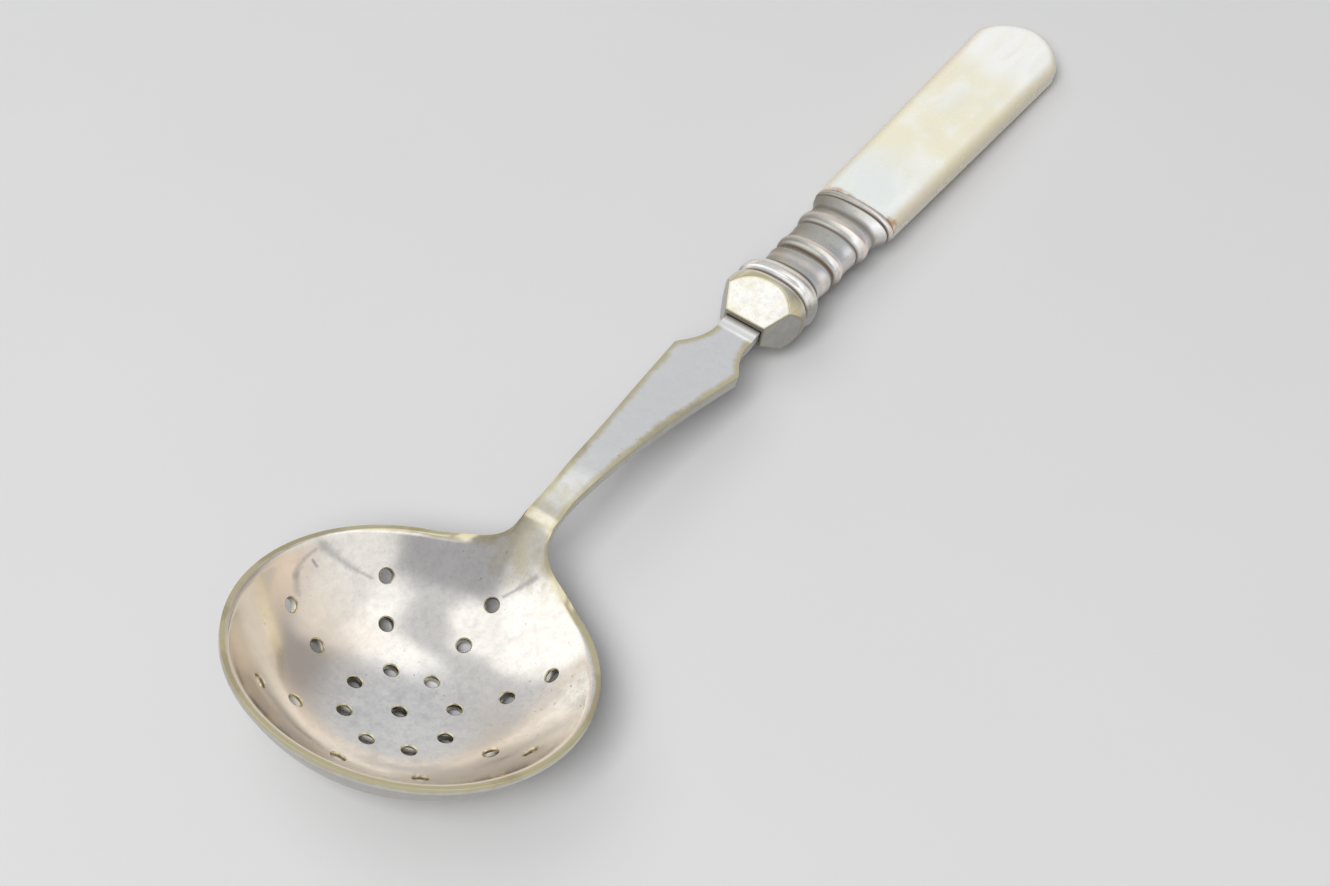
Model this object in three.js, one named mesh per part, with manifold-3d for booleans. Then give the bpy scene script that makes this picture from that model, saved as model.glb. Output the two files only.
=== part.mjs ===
import * as THREE from 'three';
import { mergeVertices } from 'three/addons/utils/BufferGeometryUtils.js';
import Module from 'manifold-3d';

// A small sifter spoon: a pierced bowl and stem, a faceted bolster with its tang,
// a reeded ferrule, a mother-of-pearl handle and the cement that holds the tang.
// Lengths are in millimetres. The bowl and stem are drawn in the rim's own frame:
// the origin is over the middle hole on the plane of the rim, +X runs along the
// stem to the handle and +Z is square to the rim.

// Bowl
const BOWL_HALF_LENGTH = 21.2;
const BOWL_HALF_WIDTH = 20;
const BOWL_CENTRE_X = -0.8;
const BOWL_DEPTH = 9.36;
const BOWL_FLATNESS = 3.158;
const INNER_EDGE = 0.955;
const BOWL_FLOOR_THICKNESS = 1.0;
const RIM_ROUNDING = 0.22;
const RIM_EDGE_HEIGHT = 0.75;
const HEEL_RISE_START = THREE.MathUtils.degToRad(30);
const HEEL_RISE_END = THREE.MathUtils.degToRad(8);
const HEEL_FILLET_ANGLE = THREE.MathUtils.degToRad(18);
const HEEL_FILLET_STEM_PULL = 2.0;
const HEEL_FILLET_RIM_PULL = 3.4;
const HEEL_FILLET_STEPS = 9;
const HEEL_BLEND = 1.1;
const HEEL_UNDER_BLEND = 1.5;
const RIM_STEPS = 26;
// Rings of the bowl as shares of its half width; from the lip ring on they lie in the rim
const BOWL_RINGS = [0, 0.12, 0.24, 0.36, 0.48, 0.58, 0.67, 0.75, 0.82, 0.88, 0.92, 0.948, 0.962, 0.989];
const LIP_RING = 12;
const STRETCH_FROM = 0.88;

// Piercing: one middle hole and three rings of eight, one ray pointing up the stem
const HOLE_RADIUS = 0.82;
const HOLE_RAYS = 8;
const HOLE_RINGS = [6.0, 11.44, 15.64];
const HOLE_RING_STRETCH = 1.042;
const HOLE_CUTTER_LENGTH = 6;
const HOLE_SIDES = 16;

// Stem: top height and half width of the plan at stations along X
const STEM_STATIONS = [
  { x: 22.4, top: 5.00, half: 1.95 },
  { x: 26.0, top: 6.45, half: 1.75 },
  { x: 31.0, top: 7.72, half: 2.02 },
  { x: 38.0, top: 8.70, half: 2.46 },
  { x: 48.0, top: 9.72, half: 3.40 },
  { x: 59.2, top: 10.20, half: 4.60 },
];
const STEM_THICKNESS = 1.5;
const STEM_CUT_X = 23;
const STEM_ACROSS = 7;
const BLADE_STEPS = 13;
const SCOOP_LENGTH = 6.2;
const SCOOP_STEPS = 7;
const NECK_HALF_WIDTH = 2.42;
const NECK_TOP = 10.75;
const NECK_X = 66;
const TENON_SECTIONS = [-1.4, 3.2];

// Handle axis: where it starts in the rim frame and how far it slopes up
const HANDLE_START = { x: 68.55, z: 10.75 };
const HANDLE_SLOPE = THREE.MathUtils.degToRad(9.6);

// The whole spoon leans this much to stand on the bowl and on the handle's end
const TABLE_TILT = THREE.MathUtils.degToRad(12.75);

// Bolster: half width and half thickness of its oval along the handle's axis
const BOLSTER_OVALS = [
  { s: -0.4, w: 5.65, t: 4.25 },
  { s: 5.0, w: 5.65, t: 4.25 },
  { s: 5.7, w: 5.55, t: 4.15 },
  { s: 6.3, w: 5.15, t: 3.85 },
  { s: 6.9, w: 5.25, t: 3.9 },
  { s: 7.4, w: 5.55, t: 4.1 },
  { s: 8.1, w: 5.65, t: 4.15 },
  { s: 8.8, w: 5.5, t: 4.0 },
  { s: 9.5, w: 5.0, t: 3.6 },
  { s: 10.2, w: 4.5, t: 3.0 },
];
const BOLSTER_FRONT = { s: -0.4, halfWidth: 2.78, halfHeight: 1.4 };
const FACET_REAR = { s: 4.95, halfWidth: 5.75, halfHeight: 4.3 };
const FACET_BLOCK = 30;
const SLOT = { depth: 3.8, clearance: 0.1 };
const TANG = { start: 9, end: 58, rootHalf: 0.75, tipHalf: 0.4 };

// Ferrule: outer half width and half thickness, and the wall of its thin sleeve
const FERRULE_OVALS = [
  { s: 10.3, w: 4.4, t: 2.9 },
  { s: 12.2, w: 4.3, t: 2.6 },
  { s: 14.0, w: 4.45, t: 2.55 },
  { s: 14.8, w: 4.2, t: 2.3 },
  { s: 15.4, w: 4.2, t: 2.3 },
  { s: 16.0, w: 4.55, t: 2.6 },
  { s: 16.8, w: 4.65, t: 2.7 },
  { s: 17.5, w: 4.45, t: 2.55 },
  { s: 19.0, w: 4.4, t: 2.45 },
  { s: 20.6, w: 4.5, t: 2.45 },
  { s: 21.2, w: 4.4, t: 2.35 },
  { s: 21.9, w: 4.8, t: 2.6 },
  { s: 22.8, w: 5.0, t: 2.75 },
  { s: 23.7, w: 4.85, t: 2.6 },
  { s: 24.6, w: 4.65, t: 2.35 },
  { s: 25.9, w: 4.75, t: 2.3 },
  { s: 27.0, w: 5.25, t: 2.4 },
  { s: 27.8, w: 5.65, t: 2.55 },
  { s: 28.5, w: 5.75, t: 2.6 },
  { s: 29.1, w: 5.7, t: 2.5 },
];
const FERRULE_WALL = 0.38;

// Pearl handle
const PEARL = { start: 29.2, end: 82.9, halfStart: 5.55, halfEnd: 6.5, halfThickness: 2.15 };
const PEARL_EDGE = { size: 1.7, height: 1.5, steps: 5 };
const PEARL_ROUND_LENGTH = 6.5;
const PEARL_ROUND_POWER = 1.75;
const PEARL_ROUND_STEPS = 9;
const PEARL_BLOCK = 20;
const SPIGOT = { start: 19, half: 3.65, thickness: 1.8 };
const BORE = { radius: 1.35, end: 60, sides: 24 };

// Cement round the tang, in the bore and in front of the spigot
const CEMENT = { start: 10.6, end: 59.5, radius: 1.27, gap: 0.1 };
const CEMENT_PLUG = { end: 18.8, half: 3.4, thickness: 1.75 };

const OVAL_SIDES = 32;
const OVAL_POWER = 2.35;

// How far cutters and joined lengths run past the face that they meet
const OVERRUN = 1;
const WELD_DISTANCE = 1e-4;

const SILVER = { color: 0xb9b4a8, roughness: 0.32, metalness: 1 };
const BRIGHT_SILVER = { color: 0xcfcac0, roughness: 0.22, metalness: 1 };
const DULL_SILVER = { color: 0xa49c92, roughness: 0.38, metalness: 1 };
const PEARL_FINISH = { color: 0xe9e4d2, roughness: 0.28, metalness: 0 };
const CEMENT_FINISH = { color: 0x6b4a34, roughness: 0.9, metalness: 0 };

const wasm = await Module();
wasm.setup();

function mix(a, b, k) {
  return a + (b - a) * k;
}

function smoothStep(from, to, value) {
  const k = THREE.MathUtils.clamp((value - from) / (to - from), 0, 1);
  return k * k * (3 - 2 * k);
}

function smoothMin(a, b, blend) {
  const k = THREE.MathUtils.clamp(0.5 + (b - a) / (2 * blend), 0, 1);
  return mix(b, a, k) - blend * k * (1 - k);
}

// A curve through stations that never overshoots between two of them
function stationCurve(stations, at, key) {
  const last = stations.length - 1;
  const slopeAfter = (now, next) => (next[key] - now[key]) / (next[at] - now[at]);
  const slope = stations.slice(1).map((next, i) => slopeAfter(stations[i], next));
  const tangent = stations.map((_, i) => {
    if (i === 0 || i === last) return slope[Math.min(i, last - 1)];
    const [before, after] = [slope[i - 1], slope[i]];
    return before * after <= 0 ? 0 : (2 * before * after) / (before + after);
  });
  const beyond = (end, value) => stations[end][key] + tangent[end] * (value - stations[end][at]);
  return (value) => {
    if (value <= stations[0][at]) return beyond(0, value);
    if (value >= stations[last][at]) return beyond(last, value);
    const i = stations.findIndex((station) => station[at] > value) - 1;
    const span = stations[i + 1][at] - stations[i][at];
    const k = (value - stations[i][at]) / span;
    const [k2, k3] = [k * k, k * k * k];
    return (
      stations[i][key] * (2 * k3 - 3 * k2 + 1) +
      tangent[i] * span * (k3 - 2 * k2 + k) +
      stations[i + 1][key] * (3 * k2 - 2 * k3) +
      tangent[i + 1] * span * (k3 - k2)
    );
  };
}

// One or more grids of points, each given as rows, welded into one geometry
function weldGrids(grids) {
  const position = [];
  const index = [];
  for (const rows of grids) {
    const start = position.length / 3;
    const width = rows[0].length;
    for (const row of rows) for (const point of row) position.push(point.x, point.y, point.z);
    for (let r = 0; r + 1 < rows.length; r += 1) {
      for (let c = 0; c + 1 < width; c += 1) {
        const a = start + r * width + c;
        const b = a + width;
        index.push(a, b, a + 1, a + 1, b, b + 1);
      }
    }
  }
  const geometry = new THREE.BufferGeometry();
  geometry.setAttribute('position', new THREE.Float32BufferAttribute(position, 3));
  geometry.setIndex(index);
  return weld(geometry);
}

// Merges equal vertices and drops triangles that a merge has closed up
function weld(geometry) {
  const bare = geometry.clone();
  bare.deleteAttribute('normal');
  bare.deleteAttribute('uv');
  const merged = mergeVertices(bare, WELD_DISTANCE);
  const index = [];
  const source = merged.index.array;
  for (let i = 0; i < source.length; i += 3) {
    const [a, b, c] = [source[i], source[i + 1], source[i + 2]];
    if (a !== b && b !== c && c !== a) index.push(a, b, c);
  }
  merged.setIndex(index);
  return merged;
}

function middleOf(points) {
  return points.reduce((sum, point) => sum.add(point), new THREE.Vector3()).divideScalar(points.length);
}

// Closed solid through rings of equal length, capped from each end ring's middle
function loftRings(rings) {
  const closed = rings.map((ring) => [...ring, ring[0]]);
  const cap = (ring) => ring.map(() => middleOf(ring.slice(0, -1)));
  return weldGrids([[cap(closed[0]), ...closed, cap(closed.at(-1))]]);
}

function toSolid(geometry) {
  const merged = weld(geometry);
  return new wasm.Manifold(
    new wasm.Mesh({
      numProp: 3,
      vertProperties: new Float32Array(merged.attributes.position.array),
      triVerts: new Uint32Array(merged.index.array),
    }),
  );
}

function toGeometry(solid) {
  const mesh = solid.getMesh();
  const geometry = new THREE.BufferGeometry();
  geometry.setAttribute('position', new THREE.BufferAttribute(new Float32Array(mesh.vertProperties), 3));
  geometry.setIndex(new THREE.BufferAttribute(new Uint32Array(mesh.triVerts), 1));
  geometry.computeVertexNormals();
  return geometry;
}

function namedMesh(name, geometry, finish) {
  const mesh = new THREE.Mesh(geometry, new THREE.MeshStandardMaterial(finish));
  mesh.name = name;
  return mesh;
}

// Bowl and stem

const NECK_STATION = { x: NECK_X, top: NECK_TOP, half: NECK_HALF_WIDTH };
const stemTop = stationCurve([...STEM_STATIONS, NECK_STATION], 'x', 'top');
const stemEdge = stationCurve(STEM_STATIONS, 'x', 'half');
const SHOULDER = STEM_STATIONS.at(-1);

// Half width of the stem's plan: the widening blade, then a scoop to the neck
function stemHalfWidth(x) {
  if (x <= SHOULDER.x) return stemEdge(x);
  const left = THREE.MathUtils.clamp((SHOULDER.x + SCOOP_LENGTH - x) / SCOOP_LENGTH, 0, 1);
  return mix(NECK_HALF_WIDTH, SHOULDER.half, left * left);
}

function ellipseRadius(x, y) {
  return Math.hypot((x - BOWL_CENTRE_X) / BOWL_HALF_LENGTH, y / BOWL_HALF_WIDTH);
}

function innerHeight(q) {
  return -BOWL_DEPTH * (1 - (q / INNER_EDGE) ** BOWL_FLATNESS);
}

function outerHeight(q) {
  const depth = BOWL_DEPTH + BOWL_FLOOR_THICKNESS - RIM_EDGE_HEIGHT;
  return -RIM_EDGE_HEIGHT - depth * (1 - q ** BOWL_FLATNESS);
}

// Plan outline of the left side from the stem's root to the tip: fillet, then rim
function outlineSide() {
  const root = new THREE.Vector2(STEM_CUT_X, stemHalfWidth(STEM_CUT_X));
  const rimStart = rimPoint(HEEL_FILLET_ANGLE);
  const fillet = new THREE.CubicBezierCurve(
    root,
    root.clone().add(new THREE.Vector2(-HEEL_FILLET_STEM_PULL, 0)),
    rimStart.clone().addScaledVector(rimTangent(HEEL_FILLET_ANGLE), -HEEL_FILLET_RIM_PULL),
    rimStart,
  );
  const rim = [];
  for (let i = 1; i <= RIM_STEPS; i += 1) {
    rim.push(rimPoint(mix(HEEL_FILLET_ANGLE, Math.PI, i / RIM_STEPS)));
  }
  return [...fillet.getPoints(HEEL_FILLET_STEPS), ...rim];
}

function rimPoint(angle) {
  return new THREE.Vector2(
    BOWL_CENTRE_X + BOWL_HALF_LENGTH * Math.cos(angle),
    BOWL_HALF_WIDTH * Math.sin(angle),
  );
}

function rimTangent(angle) {
  const along = new THREE.Vector2(-BOWL_HALF_LENGTH * Math.sin(angle), BOWL_HALF_WIDTH * Math.cos(angle));
  return along.normalize();
}

// The outline moved inwards by the rounding of its edge
function insetOutline(outline) {
  return outline.map((point, i) => {
    const before = outline[Math.max(i - 1, 0)];
    const after = outline[Math.min(i + 1, outline.length - 1)];
    const atRoot = i === 0 || i === outline.length - 1;
    const along = atRoot ? new THREE.Vector2(i === 0 ? -1 : 1, 0) : after.clone().sub(before).normalize();
    return new THREE.Vector2(point.x - along.y * RIM_ROUNDING, point.y + along.x * RIM_ROUNDING);
  });
}

// How far a spoke belongs to the heel, where the wall runs up into the stem
function heelShare(point) {
  const angle = Math.atan2(point.y / BOWL_HALF_WIDTH, (point.x - BOWL_CENTRE_X) / BOWL_HALF_LENGTH);
  return 1 - smoothStep(HEEL_RISE_END, HEEL_RISE_START, Math.abs(angle));
}

function topHeight(point, share, ring) {
  const q = ellipseRadius(point.x, point.y);
  const wall = innerHeight(q);
  const heel = smoothMin(wall, stemTop(point.x), HEEL_BLEND);
  const rim = ring >= LIP_RING ? 0 : wall;
  return mix(rim, heel, share);
}

function bottomHeight(point, share) {
  const wall = outerHeight(ellipseRadius(point.x, point.y));
  return mix(wall, smoothMin(wall, stemTop(point.x) - STEM_THICKNESS, HEEL_UNDER_BLEND), share);
}

// A spoke's points in plan: the bowl's own rings, stretched near the end to meet its edge
function spokePoint(edge, ring) {
  const reach = ellipseRadius(edge.x, edge.y);
  const full = BOWL_RINGS.at(-1);
  const q = BOWL_RINGS[ring];
  const share = Math.max(0, (q - STRETCH_FROM) / (full - STRETCH_FROM));
  const stretched = share === 0 ? q : mix(STRETCH_FROM, reach, share);
  return new THREE.Vector2(
    BOWL_CENTRE_X + (edge.x - BOWL_CENTRE_X) * (stretched / reach),
    edge.y * (stretched / reach),
  );
}

// Points across the stem at one station, from its right edge to its left one
function across(halfWidth, count) {
  return Array.from({ length: count }, (_, i) => mix(-halfWidth, halfWidth, i / (count - 1)));
}

// Bowl and stem as one quilt of grids that share their borders
function bowlAndStemQuilt() {
  const left = outlineSide();
  const right = left.slice(0, -1).reverse().map((point) => new THREE.Vector2(point.x, -point.y));
  const outline = [...left, ...right];
  const inset = insetOutline(outline);
  const rootHalf = inset[0].y;
  const root = across(rootHalf, STEM_ACROSS).slice(1, -1).map((y) => new THREE.Vector2(STEM_CUT_X, y));
  const spokes = [...inset, ...root];
  const lift = (point, z) => new THREE.Vector3(point.x, point.y, z);
  const sheet = (heightAt) =>
    BOWL_RINGS.map((_, ring) => {
      const row = spokes.map((edge) => {
        const point = spokePoint(edge, ring);
        return lift(point, heightAt(point, heelShare(edge), ring));
      });
      return [...row, row[0]];
    });
  const top = sheet(topHeight);
  const bottom = sheet(bottomHeight);
  const [topEdge, bottomEdge] = [top.at(-1), bottom.at(-1)];
  const upperWall = outline.map((point, k) => lift(point, topEdge[k].z - RIM_ROUNDING));
  const lowerWall = outline.map((point, k) => lift(point, bottomEdge[k].z + RIM_ROUNDING));
  const onOutline = (row) => row.slice(0, outline.length);
  const rimEdge = [onOutline(topEdge), upperWall, lowerWall, onOutline(bottomEdge)];

  const end = outline.length - 1;
  const section = [
    ...topEdge.slice(end),
    upperWall[0],
    lowerWall[0],
    ...bottomEdge.slice(end).reverse(),
    lowerWall[end],
    upperWall[end],
  ];
  const sections = [section, ...stemSections()];
  const tip = sections.at(-1);
  const stem = [...sections, tip.map(() => middleOf(tip))].map((ring) => [...ring, ring[0]]);
  return weldGrids([top, rimEdge, [...bottom].reverse(), stem]);
}

// Section of the stem: a flat top with rounded edges and a flat underside
function stemSection(halfWidth, place) {
  const flat = across(halfWidth - RIM_ROUNDING, STEM_ACROSS);
  const half = STEM_THICKNESS / 2;
  return [
    ...flat.map((y) => place(y, half)),
    place(halfWidth, half - RIM_ROUNDING),
    place(halfWidth, RIM_ROUNDING - half),
    ...flat.reverse().map((y) => place(y, -half)),
    place(-halfWidth, RIM_ROUNDING - half),
    place(-halfWidth, half - RIM_ROUNDING),
  ];
}

// The stem past its root: the widening blade, the two scoops, the neck and the tenon
function stemSections() {
  const stations = [];
  for (let i = 1; i <= BLADE_STEPS; i += 1) {
    const x = mix(STEM_CUT_X, SHOULDER.x, i / BLADE_STEPS);
    stations.push({ x, half: stemEdge(x) });
  }
  for (let i = 1; i <= SCOOP_STEPS; i += 1) {
    const x = SHOULDER.x + SCOOP_LENGTH * (i / SCOOP_STEPS);
    stations.push({ x, half: stemHalfWidth(x) });
  }
  const sections = stations.map(({ x, half }) =>
    stemSection(half, (y, h) => new THREE.Vector3(x, y, stemTop(x) - STEM_THICKNESS / 2 + h)),
  );
  for (const s of TENON_SECTIONS) {
    sections.push(stemSection(NECK_HALF_WIDTH, (y, h) => handleToRim(s, y, h)));
  }
  return sections;
}

// A point given along, across and above the handle's axis, in the rim frame
function handleToRim(s, y, h) {
  return new THREE.Vector3(
    HANDLE_START.x + s * Math.cos(HANDLE_SLOPE) - h * Math.sin(HANDLE_SLOPE),
    y,
    HANDLE_START.z + s * Math.sin(HANDLE_SLOPE) + h * Math.cos(HANDLE_SLOPE),
  );
}

// One punched hole's cutter, square to the bowl's surface where it stands
function holeCutter(x, y) {
  const step = 0.01;
  const height = (px, py) => innerHeight(ellipseRadius(px, py));
  const normal = new THREE.Vector3(
    (height(x - step, y) - height(x + step, y)) / (2 * step),
    (height(x, y - step) - height(x, y + step)) / (2 * step),
    1,
  ).normalize();
  const cutter = new THREE.CylinderGeometry(HOLE_RADIUS, HOLE_RADIUS, HOLE_CUTTER_LENGTH, HOLE_SIDES);
  cutter.applyQuaternion(new THREE.Quaternion().setFromUnitVectors(new THREE.Vector3(0, 1, 0), normal));
  cutter.translate(x, y, height(x, y));
  return toSolid(cutter);
}

function holeCentres() {
  const centres = [[0, 0]];
  for (const radius of HOLE_RINGS) {
    for (let ray = 0; ray < HOLE_RAYS; ray += 1) {
      const angle = (2 * Math.PI * ray) / HOLE_RAYS;
      centres.push([radius * HOLE_RING_STRETCH * Math.cos(angle), radius * Math.sin(angle)]);
    }
  }
  return centres;
}

function bowlAndStem() {
  let solid = toSolid(bowlAndStemQuilt());
  for (const [x, y] of holeCentres()) solid = solid.subtract(holeCutter(x, y));
  return namedMesh('bowl_and_stem', toGeometry(solid), SILVER);
}

// Handle pieces, drawn with +X along the handle's axis and +Z to its upper side

// Oval section, a little fuller than an ellipse
function ovalRing(s, halfWidth, halfThickness) {
  const ring = [];
  for (let i = 0; i < OVAL_SIDES; i += 1) {
    const angle = (2 * Math.PI * i) / OVAL_SIDES;
    const bulge = (value) => Math.sign(value) * Math.abs(value) ** (2 / OVAL_POWER);
    const [y, z] = [halfWidth * bulge(Math.cos(angle)), -halfThickness * bulge(Math.sin(angle))];
    ring.push(new THREE.Vector3(s, y, z));
  }
  return ring;
}

function squareRing(s, half) {
  return [[1, 1], [1, -1], [-1, -1], [-1, 1]].map(([y, z]) => new THREE.Vector3(s, y * half, z * half));
}

function box(lengths, centre) {
  return toSolid(new THREE.BoxGeometry(...lengths).translate(...centre));
}

// A block whose lower face is the plane of one bolster facet
function facetCutter(frontOut, rearOut, turn) {
  const rise = Math.atan2(rearOut - frontOut, FACET_REAR.s - BOLSTER_FRONT.s);
  const block = new THREE.BoxGeometry(FACET_BLOCK, FACET_BLOCK, FACET_BLOCK);
  block.translate(0, 0, FACET_BLOCK / 2);
  block.rotateY(-rise);
  block.translate(BOLSTER_FRONT.s, 0, frontOut);
  block.rotateX(turn);
  return toSolid(block);
}

function bolsterAndTang() {
  let solid = toSolid(loftRings(BOLSTER_OVALS.map(({ s, w, t }) => ovalRing(s, w, t))));
  for (const side of [0, 1]) {
    solid = solid.subtract(facetCutter(BOLSTER_FRONT.halfHeight, FACET_REAR.halfHeight, side * Math.PI));
    const turn = (side - 0.5) * Math.PI;
    solid = solid.subtract(facetCutter(BOLSTER_FRONT.halfWidth, FACET_REAR.halfWidth, turn));
  }
  const slotLengths = [
    2 * SLOT.depth,
    2 * (NECK_HALF_WIDTH + SLOT.clearance),
    STEM_THICKNESS + 2 * SLOT.clearance,
  ];
  solid = solid.subtract(box(slotLengths, [BOLSTER_FRONT.s, 0, 0]));
  const tang = loftRings([squareRing(TANG.start, TANG.rootHalf), squareRing(TANG.end, TANG.tipHalf)]);
  solid = solid.add(toSolid(tang));
  return namedMesh('bolster_and_tang', toGeometry(solid), BRIGHT_SILVER);
}

function ferrule() {
  const outer = FERRULE_OVALS.map(({ s, w, t }) => ovalRing(s, w, t));
  const inner = FERRULE_OVALS.map(({ s, w, t }) => ovalRing(s, w - FERRULE_WALL, t - FERRULE_WALL));
  const rows = [...outer, ...inner.reverse(), outer[0]].map((ring) => [...ring, ring[0]]);
  return namedMesh('ferrule', toGeometry(toSolid(weldGrids([rows]))), DULL_SILVER);
}

// Plan of the pearl: a slow taper that ends in a full round
function pearlPlan() {
  const inset = PEARL_EDGE.size;
  const roundStart = PEARL.end - PEARL_ROUND_LENGTH;
  const side = [new THREE.Vector2(PEARL.start - 2 * inset, PEARL.halfStart - inset)];
  for (let i = 0; i <= PEARL_ROUND_STEPS; i += 1) {
    const turn = (Math.PI / 2) * (i / PEARL_ROUND_STEPS);
    const along = Math.sin(turn) ** (2 / PEARL_ROUND_POWER);
    const out = Math.cos(turn) ** (2 / PEARL_ROUND_POWER);
    side.push(new THREE.Vector2(
      roundStart + (PEARL_ROUND_LENGTH - inset) * along,
      (PEARL.halfEnd - inset) * out,
    ));
  }
  const mirrored = side.slice(0, -1).reverse().map((point) => new THREE.Vector2(point.x, -point.y));
  return new THREE.Shape([...side, ...mirrored].reverse());
}

function pearlHandle() {
  const flat = 2 * (PEARL.halfThickness - PEARL_EDGE.height);
  const slab = new THREE.ExtrudeGeometry(pearlPlan(), {
    depth: flat,
    bevelSize: PEARL_EDGE.size,
    bevelThickness: PEARL_EDGE.height,
    bevelSegments: PEARL_EDGE.steps,
  });
  slab.translate(0, 0, -flat / 2);
  const front = [3 * PEARL_BLOCK, PEARL_BLOCK, PEARL_BLOCK];
  let solid = toSolid(slab).subtract(box(front, [PEARL.start - front[0] / 2, 0, 0]));
  const spigotRing = (s) => ovalRing(s, SPIGOT.half, SPIGOT.thickness);
  const spigot = [SPIGOT.start, PEARL.start + OVERRUN].map(spigotRing);
  solid = solid.add(toSolid(loftRings(spigot)));
  const boreLength = BORE.end - SPIGOT.start + OVERRUN;
  const bore = new THREE.CylinderGeometry(BORE.radius, BORE.radius, boreLength, BORE.sides);
  bore.rotateZ(-Math.PI / 2);
  bore.translate(BORE.end - boreLength / 2, 0, 0);
  solid = solid.subtract(toSolid(bore));
  return namedMesh('pearl_handle', toGeometry(solid), PEARL_FINISH);
}

function cementCore() {
  const plugRing = (s) => ovalRing(s, CEMENT_PLUG.half, CEMENT_PLUG.thickness);
  const plug = [CEMENT.start, CEMENT_PLUG.end].map(plugRing);
  const length = CEMENT.end - CEMENT.start;
  const rod = new THREE.CylinderGeometry(CEMENT.radius, CEMENT.radius, length, BORE.sides);
  rod.rotateZ(-Math.PI / 2);
  rod.translate((CEMENT.end + CEMENT.start) / 2, 0, 0);
  const tangRoom = [
    squareRing(TANG.start, TANG.rootHalf + CEMENT.gap),
    squareRing(TANG.end + CEMENT.gap, TANG.tipHalf + CEMENT.gap),
  ];
  const solid = toSolid(loftRings(plug)).add(toSolid(rod)).subtract(toSolid(loftRings(tangRoom)));
  return namedMesh('cement_core', toGeometry(solid), CEMENT_FINISH);
}

function assembly() {
  const handle = new THREE.Group();
  handle.add(bolsterAndTang(), ferrule(), pearlHandle(), cementCore());
  handle.position.set(HANDLE_START.x, 0, HANDLE_START.z);
  handle.rotation.y = -HANDLE_SLOPE;
  const spoon = new THREE.Group();
  spoon.add(bowlAndStem(), handle);
  spoon.rotation.y = TABLE_TILT;
  const bounds = new THREE.Box3().setFromObject(spoon, true);
  const middle = bounds.getCenter(new THREE.Vector3());
  spoon.position.set(-middle.x, -middle.y, -bounds.min.z);
  const group = new THREE.Group();
  group.add(spoon);
  return group;
}

export default assembly();
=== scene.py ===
"""Looks of a small sifter spoon: worn silver plate, a reeded ferrule and a mother-of-pearl handle.

Each piece is modelled in millimetres in its own frame and then set into the row frame in metres.
"""

import logging
import math
from collections.abc import Sequence
from dataclasses import dataclass, field
from enum import Enum

import bmesh
import bpy
import numpy as np
from mathutils import Matrix, Vector


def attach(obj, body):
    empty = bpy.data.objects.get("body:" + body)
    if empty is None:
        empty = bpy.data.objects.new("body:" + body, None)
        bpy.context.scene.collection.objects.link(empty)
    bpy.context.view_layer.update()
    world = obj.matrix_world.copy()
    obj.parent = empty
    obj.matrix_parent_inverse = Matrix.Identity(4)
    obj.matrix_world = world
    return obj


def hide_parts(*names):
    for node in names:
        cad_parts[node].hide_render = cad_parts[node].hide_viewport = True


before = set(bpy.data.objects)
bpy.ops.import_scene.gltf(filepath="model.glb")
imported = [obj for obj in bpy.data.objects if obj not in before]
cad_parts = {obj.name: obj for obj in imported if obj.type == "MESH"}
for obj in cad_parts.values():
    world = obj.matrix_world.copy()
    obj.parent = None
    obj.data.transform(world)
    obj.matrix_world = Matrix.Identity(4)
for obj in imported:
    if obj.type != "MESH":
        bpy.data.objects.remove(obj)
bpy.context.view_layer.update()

LOG = logging.getLogger("sifter_spoon")
MM = 0.001
BODY = "root"
MERGE_MM = 0.0005

Socket = bpy.types.NodeSocket
RGBA = tuple[float, float, float, float]
Band = tuple[float, float, float]


class Slot(Enum):
    """The record's material slots of the new pieces."""

    PLATE = "silver_plate"
    FERRULE = "ferrule_silver"
    PEARL = "mother_of_pearl"


# Curves and frames


@dataclass(frozen=True)
class StationCurve:
    """A curve through stations that never overshoots between two of them."""

    at: tuple[float, ...]
    value: tuple[float, ...]

    def __call__(self, x: np.ndarray) -> np.ndarray:
        """Gives the curve's value.

        Args:
            x: where to read the curve; past its ends it runs on straight.

        Returns:
            The value at each x.
        """
        at, value = np.array(self.at), np.array(self.value)
        slope = np.diff(value) / np.diff(at)
        before, after = slope[:-1], slope[1:]
        same_way = before * after > 0
        total = np.where(same_way, before + after, 1.0)
        inner = np.where(same_way, 2 * before * after / total, 0.0)
        tangent = np.concatenate([slope[:1], inner, slope[-1:]])
        kept = np.clip(x, at[0], at[-1])
        i = np.clip(np.searchsorted(at, kept, side="right") - 1, 0, len(at) - 2)
        span = at[i + 1] - at[i]
        k = (kept - at[i]) / span
        inside = (
            value[i] * (2 * k**3 - 3 * k**2 + 1)
            + tangent[i] * span * (k**3 - 2 * k**2 + k)
            + value[i + 1] * (3 * k**2 - 2 * k**3)
            + tangent[i + 1] * span * (k**3 - k**2)
        )
        end_slope = np.where(x < at[0], tangent[0], tangent[-1])
        return inside + end_slope * (x - kept)


def smooth_step(start: float, end: float, value: np.ndarray) -> np.ndarray:
    """Rises smoothly from 0 at start to 1 at end."""
    k = np.clip((value - start) / (end - start), 0, 1)
    return k * k * (3 - 2 * k)


def smooth_min(a: np.ndarray, b: np.ndarray, blend: float) -> np.ndarray:
    """The lower of a and b, with their crossing rounded over the blend."""
    k = np.clip(0.5 + (b - a) / (2 * blend), 0, 1)
    return b + (a - b) * k - blend * k * (1 - k)


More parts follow.
